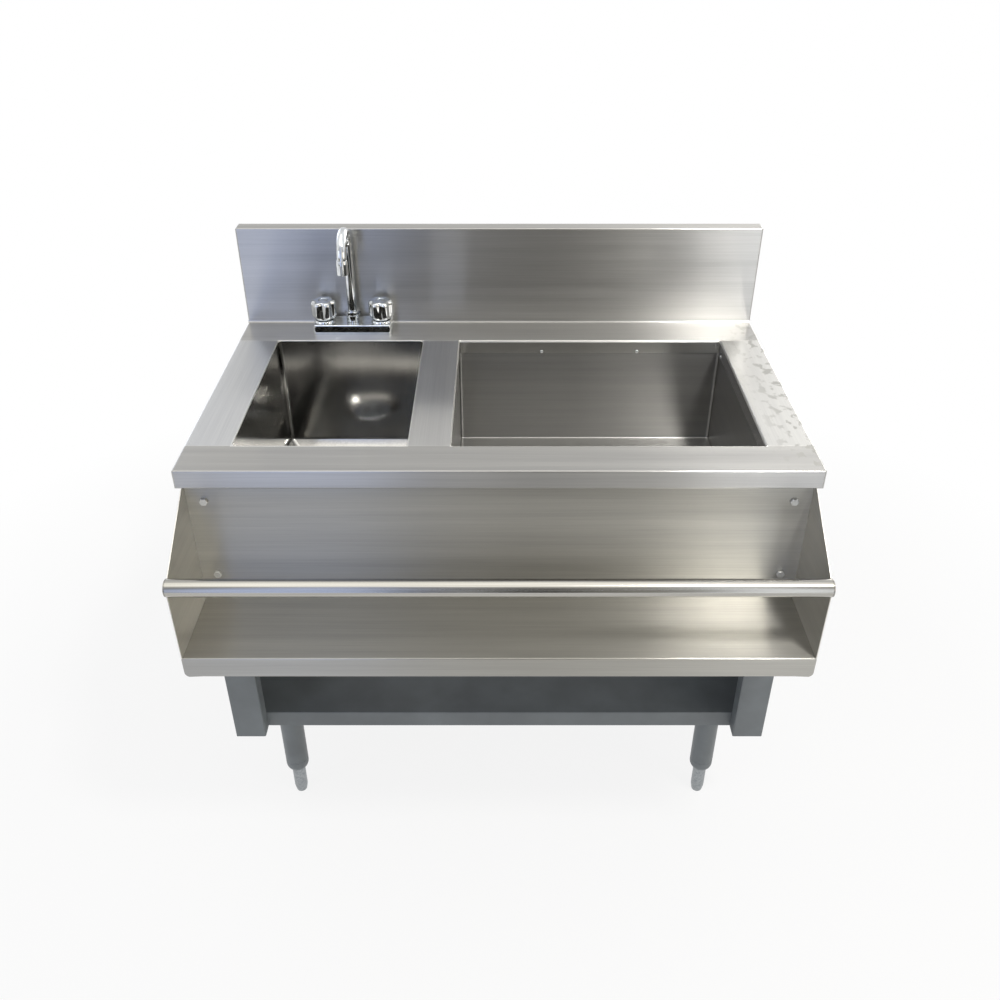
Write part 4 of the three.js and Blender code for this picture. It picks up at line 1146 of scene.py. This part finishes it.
def paleFloor(look):  # matt paper, lifted to the backdrop's white away from the station, its shadow kept
    material, tree, position = startMaterial("paleMattFloor")
    grain = stretchedNoise(tree, position, (300, 300, 300))
    smooth, dull = look["roughness"]
    rough = addNode(tree, "MapRange", {0: grain, 1: 0.3, 2: 0.7, 3: smooth, 4: dull})[0]
    paper = {"Base Color": fromHex(look["colour"]), "Roughness": rough}
    paper = addNode(tree, "BsdfPrincipled", paper)[0]
    white = addNode(tree, "Emission", {"Color": (1, 1, 1, 1), "Strength": 1.0})[0]
    reach = addNode(tree, "VectorMath", {0: position}, operation="LENGTH")["Value"]
    start, end = look["fade"]
    lift = addNode(tree, "MapRange", {0: reach, 1: start, 2: end, 3: look["lift"], 4: 1.0})[0]
    rays = addNode(tree, "LightPath")
    seen = {0: rays["Is Camera Ray"], 1: shinyRays(tree, rays)}
    seen = addNode(tree, "Math", seen, operation="MAXIMUM")[0]
    share = addNode(tree, "Math", {0: seen, 1: lift}, operation="MULTIPLY")[0]
    mixed = addNode(tree, "MixShader", {0: share, 1: paper, 2: white})[0]
    addNode(tree, "OutputMaterial", {"Surface": mixed})
    return material


half, near, far = floorLook["half"], floorLook["near"], floorLook["far"]
corners = [(-half, near, 0), (half, near, 0), (half, far, 0), (-half, far, 0)]
floorMesh = bpy.data.meshes.new("studioFloor")
floorMesh.from_pydata(corners, [], [(0, 1, 2, 3)])
floorMesh.materials.append(paleFloor(floorLook))
linked("studioFloor", floorMesh)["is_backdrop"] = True

# The white backdrop reaches all round; what stands before it, by direction: turn from the wall's side
# (back) or the user's side (front), positive to the right, and height, both in degrees.
studio = {
    "plain": 0.62,  # level of what lights the paint and the floor
    "edge": (1.4, 0.4),  # a patch fades in between these shares of its reach, squared
    "patches": [
        ("back", (-2, 40), (24, 60), "#ffffff", 0.8),  # grey wall
        ("back", (-38, 10), (18, 19), "#eef4ff", 2.4),  # soft boxes
        ("back", (38, 10), (21, 19), "#fdfcf8", 4.2),
        ("back", (0, 86), (400, 20), "#fffdf8", 1.9),
        ("front", (0, 64), (80, 20), "#fffdf8", 1.9),
        ("front", (0, -10), (75, 62), "#f6f3ec", 0.42),  # dim room behind the camera
        ("front", (-13, -5), (7.5, 60), "#ccdaff", 1.5),  # bright bands in it, and dark ones between
        ("front", (-4.5, -10), (1.6, 55), "#f2f2f4", 0.05),
        ("front", (-2.2, -5), (0.5, 60), "#ffffff", 1.2),
        ("front", (2.2, -10), (2.6, 55), "#f2f2f4", 0.05),
        ("front", (17, -5), (4.2, 60), "#f4f8ff", 1.9),
    ],
}


def makeStudio(look):
    world = bpy.data.worlds.new("studio")
    bpy.context.scene.world = world
    world.use_nodes = True
    tree = world.node_tree
    tree.nodes.clear()
    x, y, z = addNode(tree, "SeparateXYZ", {0: addNode(tree, "TexCoord")["Generated"]})
    towards = {"back": y, "front": addNode(tree, "Math", {0: y, 1: -1.0}, operation="MULTIPLY")[0]}
    height = addNode(tree, "Math", {0: z}, operation="ARCSINE")[0]
    directions = {}
    for side, ahead in towards.items():
        turn = addNode(tree, "Math", {0: x, 1: ahead}, operation="ARCTAN2")[0]
        directions[side] = addNode(tree, "CombineXYZ", {0: turn, 1: height})[0]
    outer, inner = look["edge"]
    colour = white = (1.0, 1.0, 1.0, 1.0)
    for side, centre, reach, hexColour, level in look["patches"]:
        centre = (*[math.radians(angle) for angle in centre], 0.0)
        reach = (*[math.radians(angle) for angle in reach], 1.0)
        away = addNode(tree, "VectorMath", {0: directions[side], 1: centre}, operation="SUBTRACT")[0]
        away = addNode(tree, "VectorMath", {0: away, 1: reach}, operation="DIVIDE")[0]
        away = addNode(tree, "VectorMath", {0: away, 1: away}, operation="DOT_PRODUCT")["Value"]
        mask = {0: away, 1: outer, 2: inner}
        mask = addNode(tree, "MapRange", mask, interpolation_type="SMOOTHSTEP")[0]
        tint = (*[part * level for part in fromHex(hexColour)[:3]], 1.0)
        colour = addNode(tree, "Mix", {0: mask, 6: colour, 7: tint}, data_type="RGBA")[2]
    rays = addNode(tree, "LightPath")
    plain = (*[look["plain"]] * 3, 1.0)
    lit = {0: shinyRays(tree, rays), 6: plain, 7: colour}
    lit = addNode(tree, "Mix", lit, data_type="RGBA")[2]
    seen = {0: rays["Is Camera Ray"], 6: lit, 7: white}
    seen = addNode(tree, "Mix", seen, data_type="RGBA")[2]
    background = addNode(tree, "Background", {"Color": seen})[0]
    addNode(tree, "OutputWorld", {"Surface": background})


makeStudio(studio)

lamps = [
    ("keyLamp", (1.05, -1.31, 3.3), (0, 0, 0.8), 0.45, 44, "#fdfbf8"),
    ("coolFill", (-2.4, -1.8, 1.3), (0, 0, 0.6), 1.6, 10, "#dfe7ff"),
    ("warmFill", (2.4, -1.6, 1.1), (0, 0, 0.6), 1.4, 10, "#fff0dc"),
]
for name, spot, target, breadth, power, hexColour in lamps:
    data = bpy.data.lights.new(name, "AREA")
    data.shape = "DISK"
    data.size = breadth
    data.energy = power
    data.color = fromHex(hexColour)[:3]
    lamp = linked(name, data)
    lamp.location = spot
    lamp.rotation_euler = (Vector(target) - Vector(spot)).to_track_quat("-Z", "Y").to_euler()

bpy.context.scene.view_settings.view_transform = "Standard"
print("studio made")

low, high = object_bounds()
sizes = {"cad": [list(cadLow), list(cadHigh)], "visual": [list(low), list(high)]}
